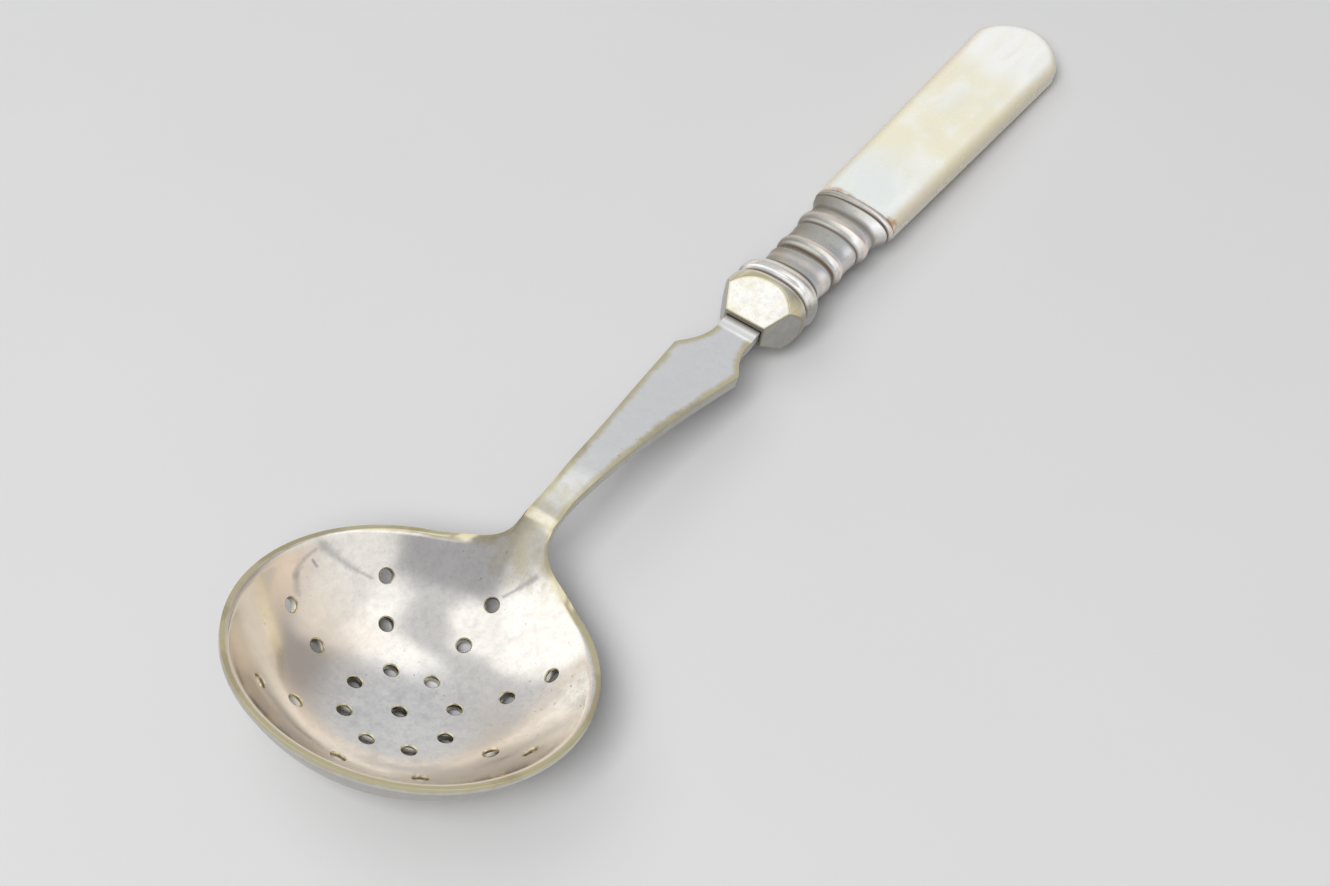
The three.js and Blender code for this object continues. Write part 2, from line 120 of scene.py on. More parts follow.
def from_edges(points: np.ndarray, edges: np.ndarray) -> np.ndarray:
    """How far each point lies from the nearest of some straight edges.

    Args:
        points: the points, one row each.
        edges: the two ends of each edge.

    Returns:
        The distances.
    """
    away = np.full(len(points), np.inf)
    for start, end in edges:
        run = end - start
        share = np.clip((points - start) @ run / (run @ run), 0, 1)
        away = np.minimum(away, np.linalg.norm(points - start - share[:, None] * run, axis=1))
    return away


def from_line(points: np.ndarray, line: np.ndarray) -> np.ndarray:
    """How far each point lies from a broken line, given by its corners."""
    return from_edges(points, np.stack([line[:-1], line[1:]], axis=1))


def bands(at: np.ndarray, places: Sequence[Band]) -> np.ndarray:
    """Soft bands round a turned piece.

    Args:
        at: places along its axis.
        places: for each band its middle, its reach and its strength.

    Returns:
        The strength of the strongest band at each place.
    """
    total = np.zeros(len(at))
    for middle, reach, strength in places:
        total = np.maximum(total, strength * np.exp(-(((at - middle) / reach) ** 2)))
    return total


@dataclass(frozen=True)
class SpoonFrames:
    """The rim's frame and the handle's frame, as the CAD solids have them."""

    rim_origin: tuple[float, float, float] = (-65.207, 0.0, 11.253)
    table_tilt: float = math.radians(12.75)
    handle_start: tuple[float, float, float] = (68.55, 0.0, 10.75)
    handle_slope: float = math.radians(9.6)

    def rim(self) -> Matrix:
        """From millimetres in the rim's frame to metres in the row frame."""
        tilt = Matrix.Rotation(self.table_tilt, 4, "Y")
        return Matrix.Scale(MM, 4) @ Matrix.Translation(self.rim_origin) @ tilt

    def handle(self) -> Matrix:
        """From millimetres along, across and above the handle's axis to the row frame."""
        slope = Matrix.Rotation(-self.handle_slope, 4, "Y")
        return self.rim() @ Matrix.Translation(self.handle_start) @ slope


FRAMES = SpoonFrames()


# Bench work: the steps by which every piece is made


def extrude(x: float, y: float, z: float) -> None:
    """Draws out what is selected in edit mode."""
    bpy.ops.mesh.extrude_region_move(TRANSFORM_OT_translate={"value": (x, y, z)})


class Workpiece:
    """One mesh on the bench, worked in edit mode and then seated in the row frame."""

    def __init__(self, name: str) -> None:
        """Names the piece that the active object becomes.

        Args:
            name: the piece's name in the scene.
        """
        self.object = bpy.context.active_object
        self.object.name = name
        self.object.data.name = name

    @staticmethod
    def clear_bench() -> None:
        """Leaves edit mode and deselects everything, so that the next step acts on its own piece."""
        if bpy.context.mode != "OBJECT":
            bpy.ops.object.mode_set(mode="OBJECT")
        bpy.ops.object.select_all(action="DESELECT")

    def take_up(self) -> None:
        """Makes this piece the only selected and active object."""
        self.clear_bench()
        self.object.select_set(True)
        bpy.context.view_layer.objects.active = self.object

    def edit(self, mode: str = "VERT") -> None:
        """Goes into edit mode with nothing selected.

        Args:
            mode: VERT, EDGE or FACE, the kind of element to select.
        """
        self.take_up()
        bpy.ops.object.mode_set(mode="EDIT")
        bpy.ops.mesh.select_mode(type=mode)
        bpy.ops.mesh.select_all(action="DESELECT")

    def select(self, mode: str, chosen: np.ndarray) -> None:
        """Selects some vertices or faces and goes into edit mode.

        Args:
            mode: VERT or FACE.
            chosen: one truth value for each vertex or face.
        """
        self.edit(mode)
        bpy.ops.object.mode_set(mode="OBJECT")
        mesh = self.object.data
        elements = mesh.vertices if mode == "VERT" else mesh.polygons
        elements.foreach_set("select", chosen.astype(bool))
        bpy.ops.object.mode_set(mode="EDIT")

    @staticmethod
    def rows(elements: bpy.types.bpy_prop_collection, key: str) -> np.ndarray:
        """Reads a vector of each vertex or face.

        Args:
            elements: the mesh's vertices or faces.
            key: the vector's name.

        Returns:
            The vectors, one row each.
        """
        flat = np.empty(len(elements) * 3)
        elements.foreach_get(key, flat)
        return flat.reshape(-1, 3)

    def points(self) -> np.ndarray:
        """Reads the vertices' places, one row each."""
        return self.rows(self.object.data.vertices, "co")

    def normals(self) -> np.ndarray:
        """Reads the vertices' normals, one row each."""
        return self.rows(self.object.data.vertices, "normal")

    def middles(self) -> np.ndarray:
        """Reads the faces' middles, one row each."""
        return self.rows(self.object.data.polygons, "center")

    def areas(self) -> np.ndarray:
        """Reads the faces' areas."""
        return np.array([face.area for face in self.object.data.polygons])

    def ridges(self, sharper_than: float) -> np.ndarray:
        """Finds the edges that wear first.

        Args:
            sharper_than: the least angle between an edge's two faces, in degrees.

        Returns:
            The two ends of each such edge.
        """
        mesh = bmesh.new()
        mesh.from_mesh(self.object.data)
        limit = math.radians(sharper_than)
        ends = [
            [vertex.co[:] for vertex in edge.verts]
            for edge in mesh.edges
            if edge.is_manifold and edge.calc_face_angle_signed() > limit
        ]
        mesh.free()
        return np.array(ends)

    def lay(self, points: np.ndarray) -> None:
        """Moves the vertices to new places, one row each."""
        self.object.data.vertices.foreach_set("co", points.reshape(-1))
        self.object.data.update()

    def modify(self, kind: str, **settings: object) -> None:
        """Adds a modifier and applies it.

        Args:
            kind: the modifier's type.
            settings: its properties by name.
        """
        self.take_up()
        modifier = self.object.modifiers.new(kind.title(), kind)
        for key, value in settings.items():
            setattr(modifier, key, value)
        bpy.ops.object.modifier_apply(modifier=modifier.name)

    def combine(self, tool: "Workpiece", operation: str) -> None:
        """Joins another piece to this one or cuts it away, and clears it from the bench.

        Args:
            tool: the other piece.
            operation: UNION or DIFFERENCE.
        """
        self.modify("BOOLEAN", object=tool.object, operation=operation, solver="EXACT")
        bpy.data.objects.remove(tool.object)

    def break_edges(self, sharper_than: float, width: float, steps: int = 3) -> None:
        """Rounds every edge that is sharper than an angle.

        Args:
            sharper_than: the least angle between two faces, in degrees.
            width: how far the rounding reaches from the edge, in millimetres.
            steps: the faces across the rounding.
        """
        self.edit("EDGE")
        bpy.ops.mesh.edges_select_sharp(sharpness=math.radians(sharper_than))
        bpy.ops.mesh.bevel(offset=width, segments=steps, profile=0.5, affect="EDGES", clamp_overlap=True)
        self.clear_bench()

    def merge_near(self, nearer_than: float) -> None:
        """Merges vertices that lie close together.

        Args:
            nearer_than: the greatest length between them, in millimetres.
        """
        self.edit()
        bpy.ops.mesh.select_all(action="SELECT")
        bpy.ops.mesh.remove_doubles(threshold=nearer_than)
        self.clear_bench()

    def close_up(self) -> None:
        """Merges doubled vertices and turns every face outwards."""
        self.merge_near(MERGE_MM)
        self.edit()
        bpy.ops.mesh.select_all(action="SELECT")
        bpy.ops.mesh.normals_make_consistent(inside=False)
        self.clear_bench()

    def note(self, name: str, values: np.ndarray, domain: str = "POINT") -> None:
        """Keeps a number for each vertex or face, which the finish reads as an attribute.

        Args:
            name: the attribute's name.
            values: one number for each vertex or face.
            domain: POINT or FACE.
        """
        attribute = self.object.data.attributes.new(name, "FLOAT", domain)
        attribute.data.foreach_set("value", values.astype(np.float32))

    def seat(self, place: Matrix, node: str, slot: Slot, finish: bpy.types.Material, smooth: float) -> None:
        """Puts the finished piece in its place, in its finish, on the spoon.

        Args:
            place: from the piece's millimetres to the row frame.
            node: the CAD node that the piece stands for.
            slot: the record's material slot; not used.
            finish: the piece's material.
            smooth: the angle in degrees up to which faces are shaded as one surface.
        """
        self.object.data.transform(place)
        self.object.data.update()
        self.take_up()
        bpy.ops.object.shade_smooth_by_angle(angle=math.radians(smooth))
        self.object.data.materials.clear()
        self.object.data.materials.append(finish)
        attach(self.object, BODY)
        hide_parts(node)
        self.clear_bench()
        LOG.info("%s: %d faces", self.object.name, len(self.object.data.polygons))


class Disc(Workpiece):
    """A round blank of spokes and rings, to be laid out to an outline and pressed."""

    def __init__(self, name: str, spokes: int, rings: int) -> None:
        """Draws a circle in to its middle, ring by ring.

        Args:
            name: the piece's name.
            spokes: how many vertices each ring has.
            rings: how many rings lie round the middle vertex.
        """
        self.clear_bench()
        bpy.ops.mesh.primitive_circle_add(vertices=spokes, radius=rings, fill_type="NOTHING")
        super().__init__(name)
        self.edit()
        bpy.ops.mesh.select_all(action="SELECT")
        for ring in range(rings, 1, -1):
            share = (ring - 1) / ring
            bpy.ops.mesh.extrude_region_move()
            bpy.ops.transform.resize(value=(share, share, 1))
        bpy.ops.mesh.extrude_region_move()
        bpy.ops.mesh.merge(type="CENTER")
        self.clear_bench()
        points = self.points()
        self.ring = np.rint(np.hypot(points[:, 0], points[:, 1])).astype(int)
        turn = np.arctan2(points[:, 1], points[:, 0]) / (2 * math.pi) * spokes
        self.spoke = np.rint(turn).astype(int) % spokes


class Sleeve(Workpiece):
    """A tube of rings, to be laid out to the sections of a turned or drawn piece."""

    def __init__(self, name: str, sides: int, rings: int, closed: bool) -> None:
        """Draws a circle up, ring by ring.

        Args:
            name: the piece's name.
            sides: how many vertices each ring has.
            rings: how many rings the tube has.
            closed: whether the two ends are filled.
        """
        self.clear_bench()
        fill = "NGON" if closed else "NOTHING"
        bpy.ops.mesh.primitive_circle_add(vertices=sides, radius=1, fill_type=fill)
        super().__init__(name)
        self.edit("EDGE")
        bpy.ops.mesh.select_all(action="SELECT")
        for _ in range(rings - 1):
            extrude(0, 0, 1)
        self.clear_bench()
        points = self.points()
        self.ring = np.rint(points[:, 2]).astype(int)
        self.turn = np.arctan2(points[:, 1], points[:, 0])


def rod(name: str, ends: tuple[float, float], halves: tuple[float, float], sides: int) -> Workpiece:
    """Adds an oval rod along the axis to the bench.

    Args:
        name: the rod's name.
        ends: where it starts and ends along the axis.
        halves: half its width and half its height.
        sides: how many sides it has.

    Returns:
        The rod.
    """
    start, end = ends
    Workpiece.clear_bench()
    bpy.ops.mesh.primitive_cylinder_add(
        vertices=sides,
        radius=1,
        depth=end - start,
        location=((start + end) / 2, 0, 0),
        rotation=(0, math.pi / 2, 0),
    )
    bpy.ops.transform.resize(value=(1, *halves))
    bpy.ops.object.transform_apply(location=True, rotation=True, scale=True)
    return Workpiece(name)


# Finishes


@dataclass(frozen=True)
class Range:
    """One range of values that becomes another, smoothly."""

    start: float
    end: float
    low: float = 0.0
    high: float = 1.0


@dataclass(frozen=True)
class Clouds:
    """Cloudy noise: its size in millimetres, its angle in degrees, and the share of it that shows."""

    size: float
    detail: float = 3
    roughness: float = 0.55
    bend: float = 0
    turn: float = 0
    stretch: float = 1
    shows: Range = Range(0, 1)


@dataclass(frozen=True)
class Scratches:
    """Fine straight scratches that cross at several angles; lengths are millimetres, angles degrees."""

    turns: tuple[float, ...] = (12, 71, 128, 163)
    width: float = 0.12
    length: float = 7
    patch: float = 14
    lines: Range = Range(0.643, 0.74)
    places: Range = Range(0.48, 0.62)


class NodeSheet:
    """A material's node tree, with short names for the nodes that the finishes use."""

    def __init__(self, name: str) -> None:
        """Starts a material.

        Args:
            name: the material's name.
        """
        self.material = bpy.data.materials.new(name)
        self.material.use_nodes = True
        self.tree = self.material.node_tree
        self.surface = self.tree.nodes["Principled BSDF"]
        self.place = self.tree.nodes.new("ShaderNodeTexCoord").outputs["Object"]

    def join(self, source: Socket | float | Sequence[float], target: Socket) -> None:
        """Links a socket, or sets a constant.

        Args:
            source: another node's output, or a value.
            target: the input that takes it.
        """
        if isinstance(source, bpy.types.NodeSocket):
            self.tree.links.new(source, target)
        else:
            target.default_value = source

    def constants(self, values: dict[str, float | Sequence[float]]) -> None:
        """Sets the surface's inputs that are the same all over the piece."""
        for key, value in values.items():
            self.surface.inputs[key].default_value = value

    def attribute(self, name: str) -> Socket:
        """Reads a number that a piece keeps for each vertex or face.

        Args:
            name: the attribute's name.

        Returns:
            The number.
        """
        node = self.tree.nodes.new("ShaderNodeAttribute")
        node.attribute_name = name
        return node.outputs["Fac"]

    def turned(self, turn: float, stretch: float, shift: float = 0) -> Socket:
        """Turns the pattern's space about Z and stretches it.

        Args:
            turn: the angle in degrees.
            stretch: the scale along its X.
            shift: how far the pattern is moved along Y, in millimetres.

        Returns:
            The vector to give to a texture.
        """
        node = self.tree.nodes.new("ShaderNodeMapping")
        self.join(self.place, node.inputs["Vector"])
        node.inputs["Location"].default_value = (0, shift * MM, 0)
        node.inputs["Rotation"].default_value = (0, 0, math.radians(turn))
        node.inputs["Scale"].default_value = (stretch, 1, 1)
        return node.outputs["Vector"]

    def noise(self, clouds: Clouds, vector: Socket | None = None) -> Socket:
        """Makes cloudy noise.

        Args:
            clouds: its size and character.
            vector: the space that it lies in, or None for its own.

        Returns:
            A value from 0 to 1 about 0.5.
        """
        if vector is None and clouds.stretch != 1:
            vector = self.turned(clouds.turn, clouds.stretch)
        node = self.tree.nodes.new("ShaderNodeTexNoise")
        self.join(vector or self.place, node.inputs["Vector"])
        node.inputs["Scale"].default_value = 1 / (clouds.size * MM)
        node.inputs["Detail"].default_value = clouds.detail
        node.inputs["Roughness"].default_value = clouds.roughness
        node.inputs["Distortion"].default_value = clouds.bend
        return node.outputs["Fac"]

    def band(self, value: Socket, shows: Range) -> Socket:
        """Maps a value smoothly from one range to another.

        Args:
            value: what is mapped.
            shows: the range that it has and the range that it gets.

        Returns:
            The mapped value.
        """
        node = self.tree.nodes.new("ShaderNodeMapRange")
        node.interpolation_type = "SMOOTHSTEP"
        self.join(value, node.inputs["Value"])
        numbers = (shows.start, shows.end, shows.low, shows.high)
        for key, number in zip(("From Min", "From Max", "To Min", "To Max"), numbers):
            node.inputs[key].default_value = number
        return node.outputs["Result"]

    def patches(self, clouds: Clouds) -> Socket:
        """Makes cloudy noise, mapped to the share of it that shows."""
        return self.band(self.noise(clouds), clouds.shows)

    def maths(self, operation: str, a: Socket | float, b: Socket | float = 0.0) -> Socket:
        """Works out one sum, product or the like.

        Args:
            operation: what is worked out.
            a: the first value.
            b: the second value.

        Returns:
            The result.
        """
        node = self.tree.nodes.new("ShaderNodeMath")
        node.operation = operation
        self.join(a, node.inputs[0])
        self.join(b, node.inputs[1])
        return node.outputs["Value"]

    def product(self, a: Socket, b: Socket | float) -> Socket:
        """Multiplies two values."""
        return self.maths("MULTIPLY", a, b)

    def total(self, start: Socket | float, parts: Sequence[tuple[Socket, float]]) -> Socket | float:
        """Adds patterns to a value, each in its own strength.

        Args:
            start: the value.
            parts: the patterns with their strengths.

        Returns:
            The sum.
        """
        total = start
        for pattern, strength in parts:
            total = self.maths("ADD", total, self.product(pattern, strength))
        return total

    def blend(self, share: Socket | float, under: Socket | RGBA, over: Socket | RGBA) -> Socket:
        """Lays one colour over another.

        Args:
            share: how much of the upper colour shows.
            under: the lower colour.
            over: the upper colour.

        Returns:
            The mixed colour.
        """
        node = self.tree.nodes.new("ShaderNodeMix")
        node.data_type = "RGBA"
        self.join(share, node.inputs["Factor"])
        self.join(under, node.inputs[6])
        self.join(over, node.inputs[7])
        return node.outputs[2]

    def coats(self, ground: Socket | RGBA, layers: Sequence[tuple[Socket, Socket | RGBA]]) -> Socket:
        """Lays colours over a ground, one after the other.

        Args:
            ground: the lowest colour.
            layers: the share and the colour of each layer.

        Returns:
            The mixed colour.
        """
        colour = ground
        for share, over in layers:
            colour = self.blend(share, colour, over)
        return colour

    def relief(self, height: Socket, strength: float, depth: float) -> None:
        """Raises the surface by a height pattern.

        Args:
            height: the pattern.
            strength: how much of it is used.
            depth: how high its full range stands, in millimetres.
        """
        node = self.tree.nodes.new("ShaderNodeBump")
        self.join(height, node.inputs["Height"])
        node.inputs["Strength"].default_value = strength
        node.inputs["Distance"].default_value = depth * MM
        self.join(node.outputs["Normal"], self.surface.inputs["Normal"])

    def vector_maths(self, operation: str, a: Socket, b: Socket | Vector, result: str = "Vector") -> Socket:
        """Works out one sum, product or the like of two vectors.

        Args:
            operation: what is worked out.
            a: the first vector.
            b: the second vector.
            result: Vector, or Value where the result is a number.

        Returns:
            The result.
        """
        node = self.tree.nodes.new("ShaderNodeVectorMath")
        node.operation = operation
        self.join(a, node.inputs[0])
        self.join(b, node.inputs[1])
        return node.outputs[result]

    def from_stroke(self, start: Vector, end: Vector) -> Socket:
        """How far each point lies from a straight stroke.

        Args:
            start: the stroke's one end.
            end: its other end.

        Returns:
            The distance in metres.
        """
        run = end - start
        offset = self.vector_maths("SUBTRACT", self.place, start)
        along = self.vector_maths("DOT_PRODUCT", offset, run / run.length_squared, "Value")
        kept = self.maths("MINIMUM", self.maths("MAXIMUM", along, 0.0), 1.0)
        node = self.tree.nodes.new("ShaderNodeVectorMath")
        node.operation = "SCALE"
        node.inputs[0].default_value = run
        self.join(kept, node.inputs["Scale"])
        return self.vector_maths("DISTANCE", offset, node.outputs["Vector"], "Value")

    def scratches(self, scratches: Scratches) -> Socket:
        """Makes fine straight scratches that cross at several angles.

        Args:
            scratches: their sizes and angles.

        Returns:
            1 in a scratch and 0 beside it.
        """
        total: Socket | float = 0.0
        fine, coarse = Clouds(scratches.width, detail=1), Clouds(scratches.patch)
        for turn in scratches.turns:
            space = self.turned(turn, scratches.width / scratches.length, turn)
            line = self.band(self.noise(fine, space), scratches.lines)
            patches = self.band(self.noise(coarse, self.turned(turn, 1)), scratches.places)
            total = self.maths("MAXIMUM", total, self.product(line, patches))
        return total


class WorldSheet(NodeSheet):
    """The world's node tree."""

    def __init__(self, world: bpy.types.World) -> None:
        """Takes up the world's nodes.

        Args:
            world: the world to dress.
        """
        self.tree = world.node_tree
        self.surface = self.tree.nodes["Background"]
        self.place = self.tree.nodes.new("ShaderNodeTexCoord").outputs["Generated"]

    def along_axis(self, axis: Vector) -> Socket:
        """How far each direction of the world points along an axis."""
        return self.vector_maths("DOT_PRODUCT", self.place, axis, "Value")

    def seen(self) -> Socket:
        """Finds where the world is seen, directly, in metal or through glass.

        Returns:
            1 where it is seen and 0 where it only lights.
        """
        path = self.tree.nodes.new("ShaderNodeLightPath").outputs
        mirrored = self.maths("MAXIMUM", path["Is Glossy Ray"], path["Is Transmission Ray"])
        return self.maths("MAXIMUM", path["Is Camera Ray"], mirrored)


@dataclass(frozen=True)
class Mark:
    """A dark mark across the bowl, mostly a smear or scratch: its corners in the rim's frame and each run's
    width, in mm. The mark by the heel is a painted dark reflection.
    """

    corners: tuple[tuple[float, float, float], ...]
    widths: tuple[float, ...]
    share: float

    def reach(self, sheet: NodeSheet) -> Socket:
        """Measures from the mark, in its own half widths.

        Args:
            sheet: the material's nodes.

        Returns:
            How far each point lies from the mark.
        """
        places = [FRAMES.rim() @ Vector(corner) for corner in self.corners]
        runs = [
            sheet.maths("DIVIDE", sheet.from_stroke(start, end), width * MM)
            for start, end, width in zip(places, places[1:], self.widths)
        ]
        nearest = runs[0]
        for run in runs[1:]:
            nearest = sheet.maths("MINIMUM", nearest, run)
        return nearest


@dataclass(frozen=True)
class SilverPlate:
    """Old silver plate: polished, hazed by wear, grey in patches and brassy where an edge is worn. The
    "under" mask lays painted shade on faces that look down or away, and the "bright" mask lays a lighter
    polished colour, which on the ferrule is a painted highlight.
    """

    name: str
    silver: RGBA = (0.93, 0.925, 0.905, 1)
    warm: RGBA = (0.84, 0.735, 0.615, 1)
    tarnish: RGBA = (0.47, 0.485, 0.51, 1)
    stain: RGBA = (0.17, 0.125, 0.085, 1)
    smoke: RGBA = (0.33, 0.33, 0.345, 1)
    worn: RGBA = (0.66, 0.60, 0.35, 1)
    deep: RGBA = (0.42, 0.35, 0.18, 1)
    # underside: the colour of painted shade, laid by the "under" mask on faces that look down or away
    underside: RGBA = (0.34, 0.32, 0.27, 1)
    polished: RGBA = (0.92, 0.94, 0.96, 1)
    tarnish_share: float = 0.5
    warm_share: float = 0.85
    worn_share: float = 0.85
    painted_shade_share: float = 0.8
    roughness: float = 0.10
    dull_haze: float = 0.12
    dull_grain: float = 0.06
    dull_scratch: float = 0.08
    dull_dirt: float = 0.3
    dull_underside: float = 0.15
    marks: tuple[Mark, ...] = ()
    clouds: Clouds = Clouds(9, detail=4, bend=0.5, shows=Range(0.34, 0.68))
    smears: Clouds = Clouds(1.7, detail=5, roughness=0.6, bend=0.4, shows=Range(0.3, 0.72))
    grains: Clouds = Clouds(0.3, roughness=0.7, shows=Range(0.52, 0.74, high=0.25))
    mottle: Clouds = Clouds(0.9, detail=5, roughness=0.7, shows=Range(0.42, 0.7, high=0.3))
    specks: Clouds = Clouds(0.6, detail=4, roughness=0.75, shows=Range(0.63, 0.72))
    speck_places: Clouds = Clouds(13, detail=2, shows=Range(0.52, 0.6))
    smudges: Clouds = Clouds(1.2, detail=5, roughness=0.7)
    smudge_reach: float = -1.6
    mark_ends: tuple[float, float] = (0.5, -0.9)
    groove_dirt: Range = Range(0.1, 0.9, high=0.95)
    ragged: Clouds = Clouds(2.2, detail=4, roughness=0.6, shows=Range(0.3, 0.7, -0.16, 0.16))
    worn_through: Range = Range(0.15, 0.95)
    deep_places: Range = Range(0.48, 0.62, high=0.6)
    scratches: Scratches = Scratches()
    waves: Clouds = Clouds(6, detail=1)
    wave_depth: float = 0.10
    scratch_height: float = -0.02
    grain_height: float = -0.01

    def ground(self, sheet: NodeSheet, haze: Socket, grains: Socket) -> Socket:
        """Mixes the colour of the plate where it is whole.

        Args:
            sheet: the material's nodes.
            haze: where the polish has gone.
            grains: fine grain.

        Returns:
            The colour.
        """
        layers = [
            (sheet.product(haze, self.tarnish_share), self.tarnish),
            (sheet.band(grains, self.grains.shows), self.tarnish),
            (sheet.patches(self.mottle), self.tarnish),
            (sheet.product(sheet.attribute("warm"), self.warm_share), self.warm),
            # bright: a polished stem on the bowl; on the ferrule a painted highlight strip
            (sheet.attribute("bright"), self.polished),
            (sheet.product(sheet.patches(self.specks), sheet.patches(self.speck_places)), self.stain),
        ]
        smudges = sheet.noise(self.smudges)
        for mark in self.marks:
            ragged = sheet.total(mark.reach(sheet), ((smudges, self.smudge_reach),))
            layers.append((sheet.band(ragged, Range(*self.mark_ends, high=mark.share)), self.smoke))
        return sheet.coats(self.silver, layers)

    def worn_away(self, sheet: NodeSheet) -> Socket:
        """Finds where the plate is worn through to the brassy metal.

        Args:
            sheet: the material's nodes.

        Returns:
            How much of the base metal shows.
        """
        edges = sheet.maths("ADD", sheet.attribute("wear"), sheet.patches(self.ragged))
        through = sheet.maths("MAXIMUM", sheet.band(edges, self.worn_through), sheet.attribute("ring"))
        return sheet.product(through, self.worn_share)

    def material(self) -> bpy.types.Material:
        """Builds the material.

        Returns:
            The finished material.
        """
        sheet = NodeSheet(self.name)
        clouds = sheet.noise(self.clouds)
        haze = sheet.product(sheet.band(clouds, self.clouds.shows), sheet.patches(self.smears))
        grains = sheet.noise(self.grains)
        # under: the painted-shade mask; it darkens the colour and also raises the roughness
        under, groove = sheet.attribute("under"), sheet.attribute("groove")
        brassy = sheet.blend(sheet.band(clouds, self.deep_places), self.worn, self.deep)
        colour = sheet.coats(self.ground(sheet, haze, grains), (
            (sheet.band(groove, self.groove_dirt), self.stain),
            (self.worn_away(sheet), brassy),
            # painted shade: the "under" mask darkens faces that look down or away towards the underside
            # colour
            (sheet.product(under, self.painted_shade_share), self.underside),
        ))
        sheet.join(colour, sheet.surface.inputs["Base Color"])
        sheet.constants({"Metallic": 1.0})
        scratch = sheet.scratches(self.scratches)
        dulled = (
            (haze, self.dull_haze),
            (grains, self.dull_grain),
            (scratch, self.dull_scratch),
            (groove, self.dull_dirt),
            (under, self.dull_underside),
        )
        sheet.join(sheet.total(self.roughness, dulled), sheet.surface.inputs["Roughness"])
        raised = ((scratch, self.scratch_height), (grains, self.grain_height))
        sheet.relief(sheet.total(sheet.noise(self.waves), raised), 1.0, self.wave_depth)
        return sheet.material


@dataclass(frozen=True)
class MotherOfPearl:
    """Polished shell: cream in the middle, white at its end, with milky patches and a faint figure.

    Places along the handle are millimetres along its axis.
    """

    name: str
    ivory: RGBA = (0.85, 0.815, 0.63, 1)
    milk: RGBA = (0.93, 0.93, 0.895, 1)
    cool: RGBA = (0.78, 0.82, 0.80, 1)
    rose: RGBA = (0.84, 0.75, 0.66, 1)
    tan: RGBA = (0.70, 0.61, 0.42, 1)
    stain: RGBA = (0.42, 0.22, 0.10, 1)
    wander: Clouds = Clouds(9, bend=0.6)
    wander_length: float = 16
    cream_from: Range = Range(44, 52)
    milk_from: Range = Range(70, 82)
    milky: Clouds = Clouds(
        6, roughness=0.5, bend=0.8, turn=-24, stretch=0.45, shows=Range(0.44, 0.72, high=0.75)
    )
    tints: Clouds = Clouds(5, detail=2, bend=1.2, turn=31, stretch=0.3)
    rosy: Range = Range(0.55, 0.72, high=0.35)
    bluish: Range = Range(0.45, 0.28, high=0.35)
    figure: Clouds = Clouds(1.6, detail=1, turn=8, stretch=0.12, shows=Range(0.35, 0.75, high=0.2))
    side_edge: Range = Range(1.7, 0.2, high=0.85)
    by_ferrule: Range = Range(30.4, 29.3)
    seepage: Clouds = Clouds(3.0, detail=4, shows=Range(0.46, 0.62, high=0.8))
    wiped: Clouds = Clouds(5, detail=5, roughness=0.65, shows=Range(0.3, 0.75, 0.16, 0.34))
    waves: Clouds = Clouds(7, detail=1)
    wave_strength: float = 0.3
    wave_depth: float = 0.06

    def material(self) -> bpy.types.Material:
        """Builds the material.

        Returns:
            The finished material.
        """
        sheet = NodeSheet(self.name)
        along = sheet.attribute("along_mm")
        place = sheet.total(along, ((sheet.noise(self.wander), self.wander_length),))
        tints = sheet.noise(self.tints)
        seeped = sheet.product(sheet.band(along, self.by_ferrule), sheet.patches(self.seepage))
        colour = sheet.coats(self.cool, (
            (sheet.band(place, self.cream_from), self.ivory),
            (sheet.band(place, self.milk_from), self.milk),
            (sheet.patches(self.milky), self.milk),
            (sheet.band(tints, self.rosy), self.rose),
            (sheet.band(tints, self.bluish), self.cool),
            (sheet.patches(self.figure), self.ivory),
            (sheet.band(sheet.attribute("edge_mm"), self.side_edge), self.tan),
            (seeped, self.stain),
        ))
        sheet.join(colour, sheet.surface.inputs["Base Color"])
        sheet.join(sheet.patches(self.wiped), sheet.surface.inputs["Roughness"])
        sheet.constants({
            "IOR": 1.56,
            "Coat Weight": 0.35,
            "Coat Roughness": 0.12,
            "Subsurface Weight": 0.18,
            "Subsurface Radius": (1.0, 0.9, 0.7),
            "Subsurface Scale": 1.2 * MM,
            "Sheen Weight": 0.08,
        })
        sheet.relief(sheet.noise(self.waves), self.wave_strength, self.wave_depth)
        return sheet.material


@dataclass(frozen=True)
class ResinCement:
    """Cutler's cement: matt brown resin with brick dust in it."""

    name: str
    light: RGBA = (0.34, 0.19, 0.11, 1)
    dark: RGBA = (0.17, 0.09, 0.05, 1)
    grains: Clouds = Clouds(0.5, detail=5, roughness=0.7, shows=Range(0.35, 0.65))
    matt: Range = Range(0.2, 0.8, 0.95, 0.75)
    grain_strength: float = 0.5
    grain_depth: float = 0.1

    def material(self) -> bpy.types.Material:
        """Builds the material.

        Returns:
            The finished material.
        """
        sheet = NodeSheet(self.name)
        grains = sheet.noise(self.grains)
        colour = sheet.blend(sheet.band(grains, self.grains.shows), self.dark, self.light)
        sheet.join(colour, sheet.surface.inputs["Base Color"])
        sheet.join(sheet.band(grains, self.matt), sheet.surface.inputs["Roughness"])
        sheet.relief(grains, self.grain_strength, self.grain_depth)
        return sheet.material


# Bowl and stem


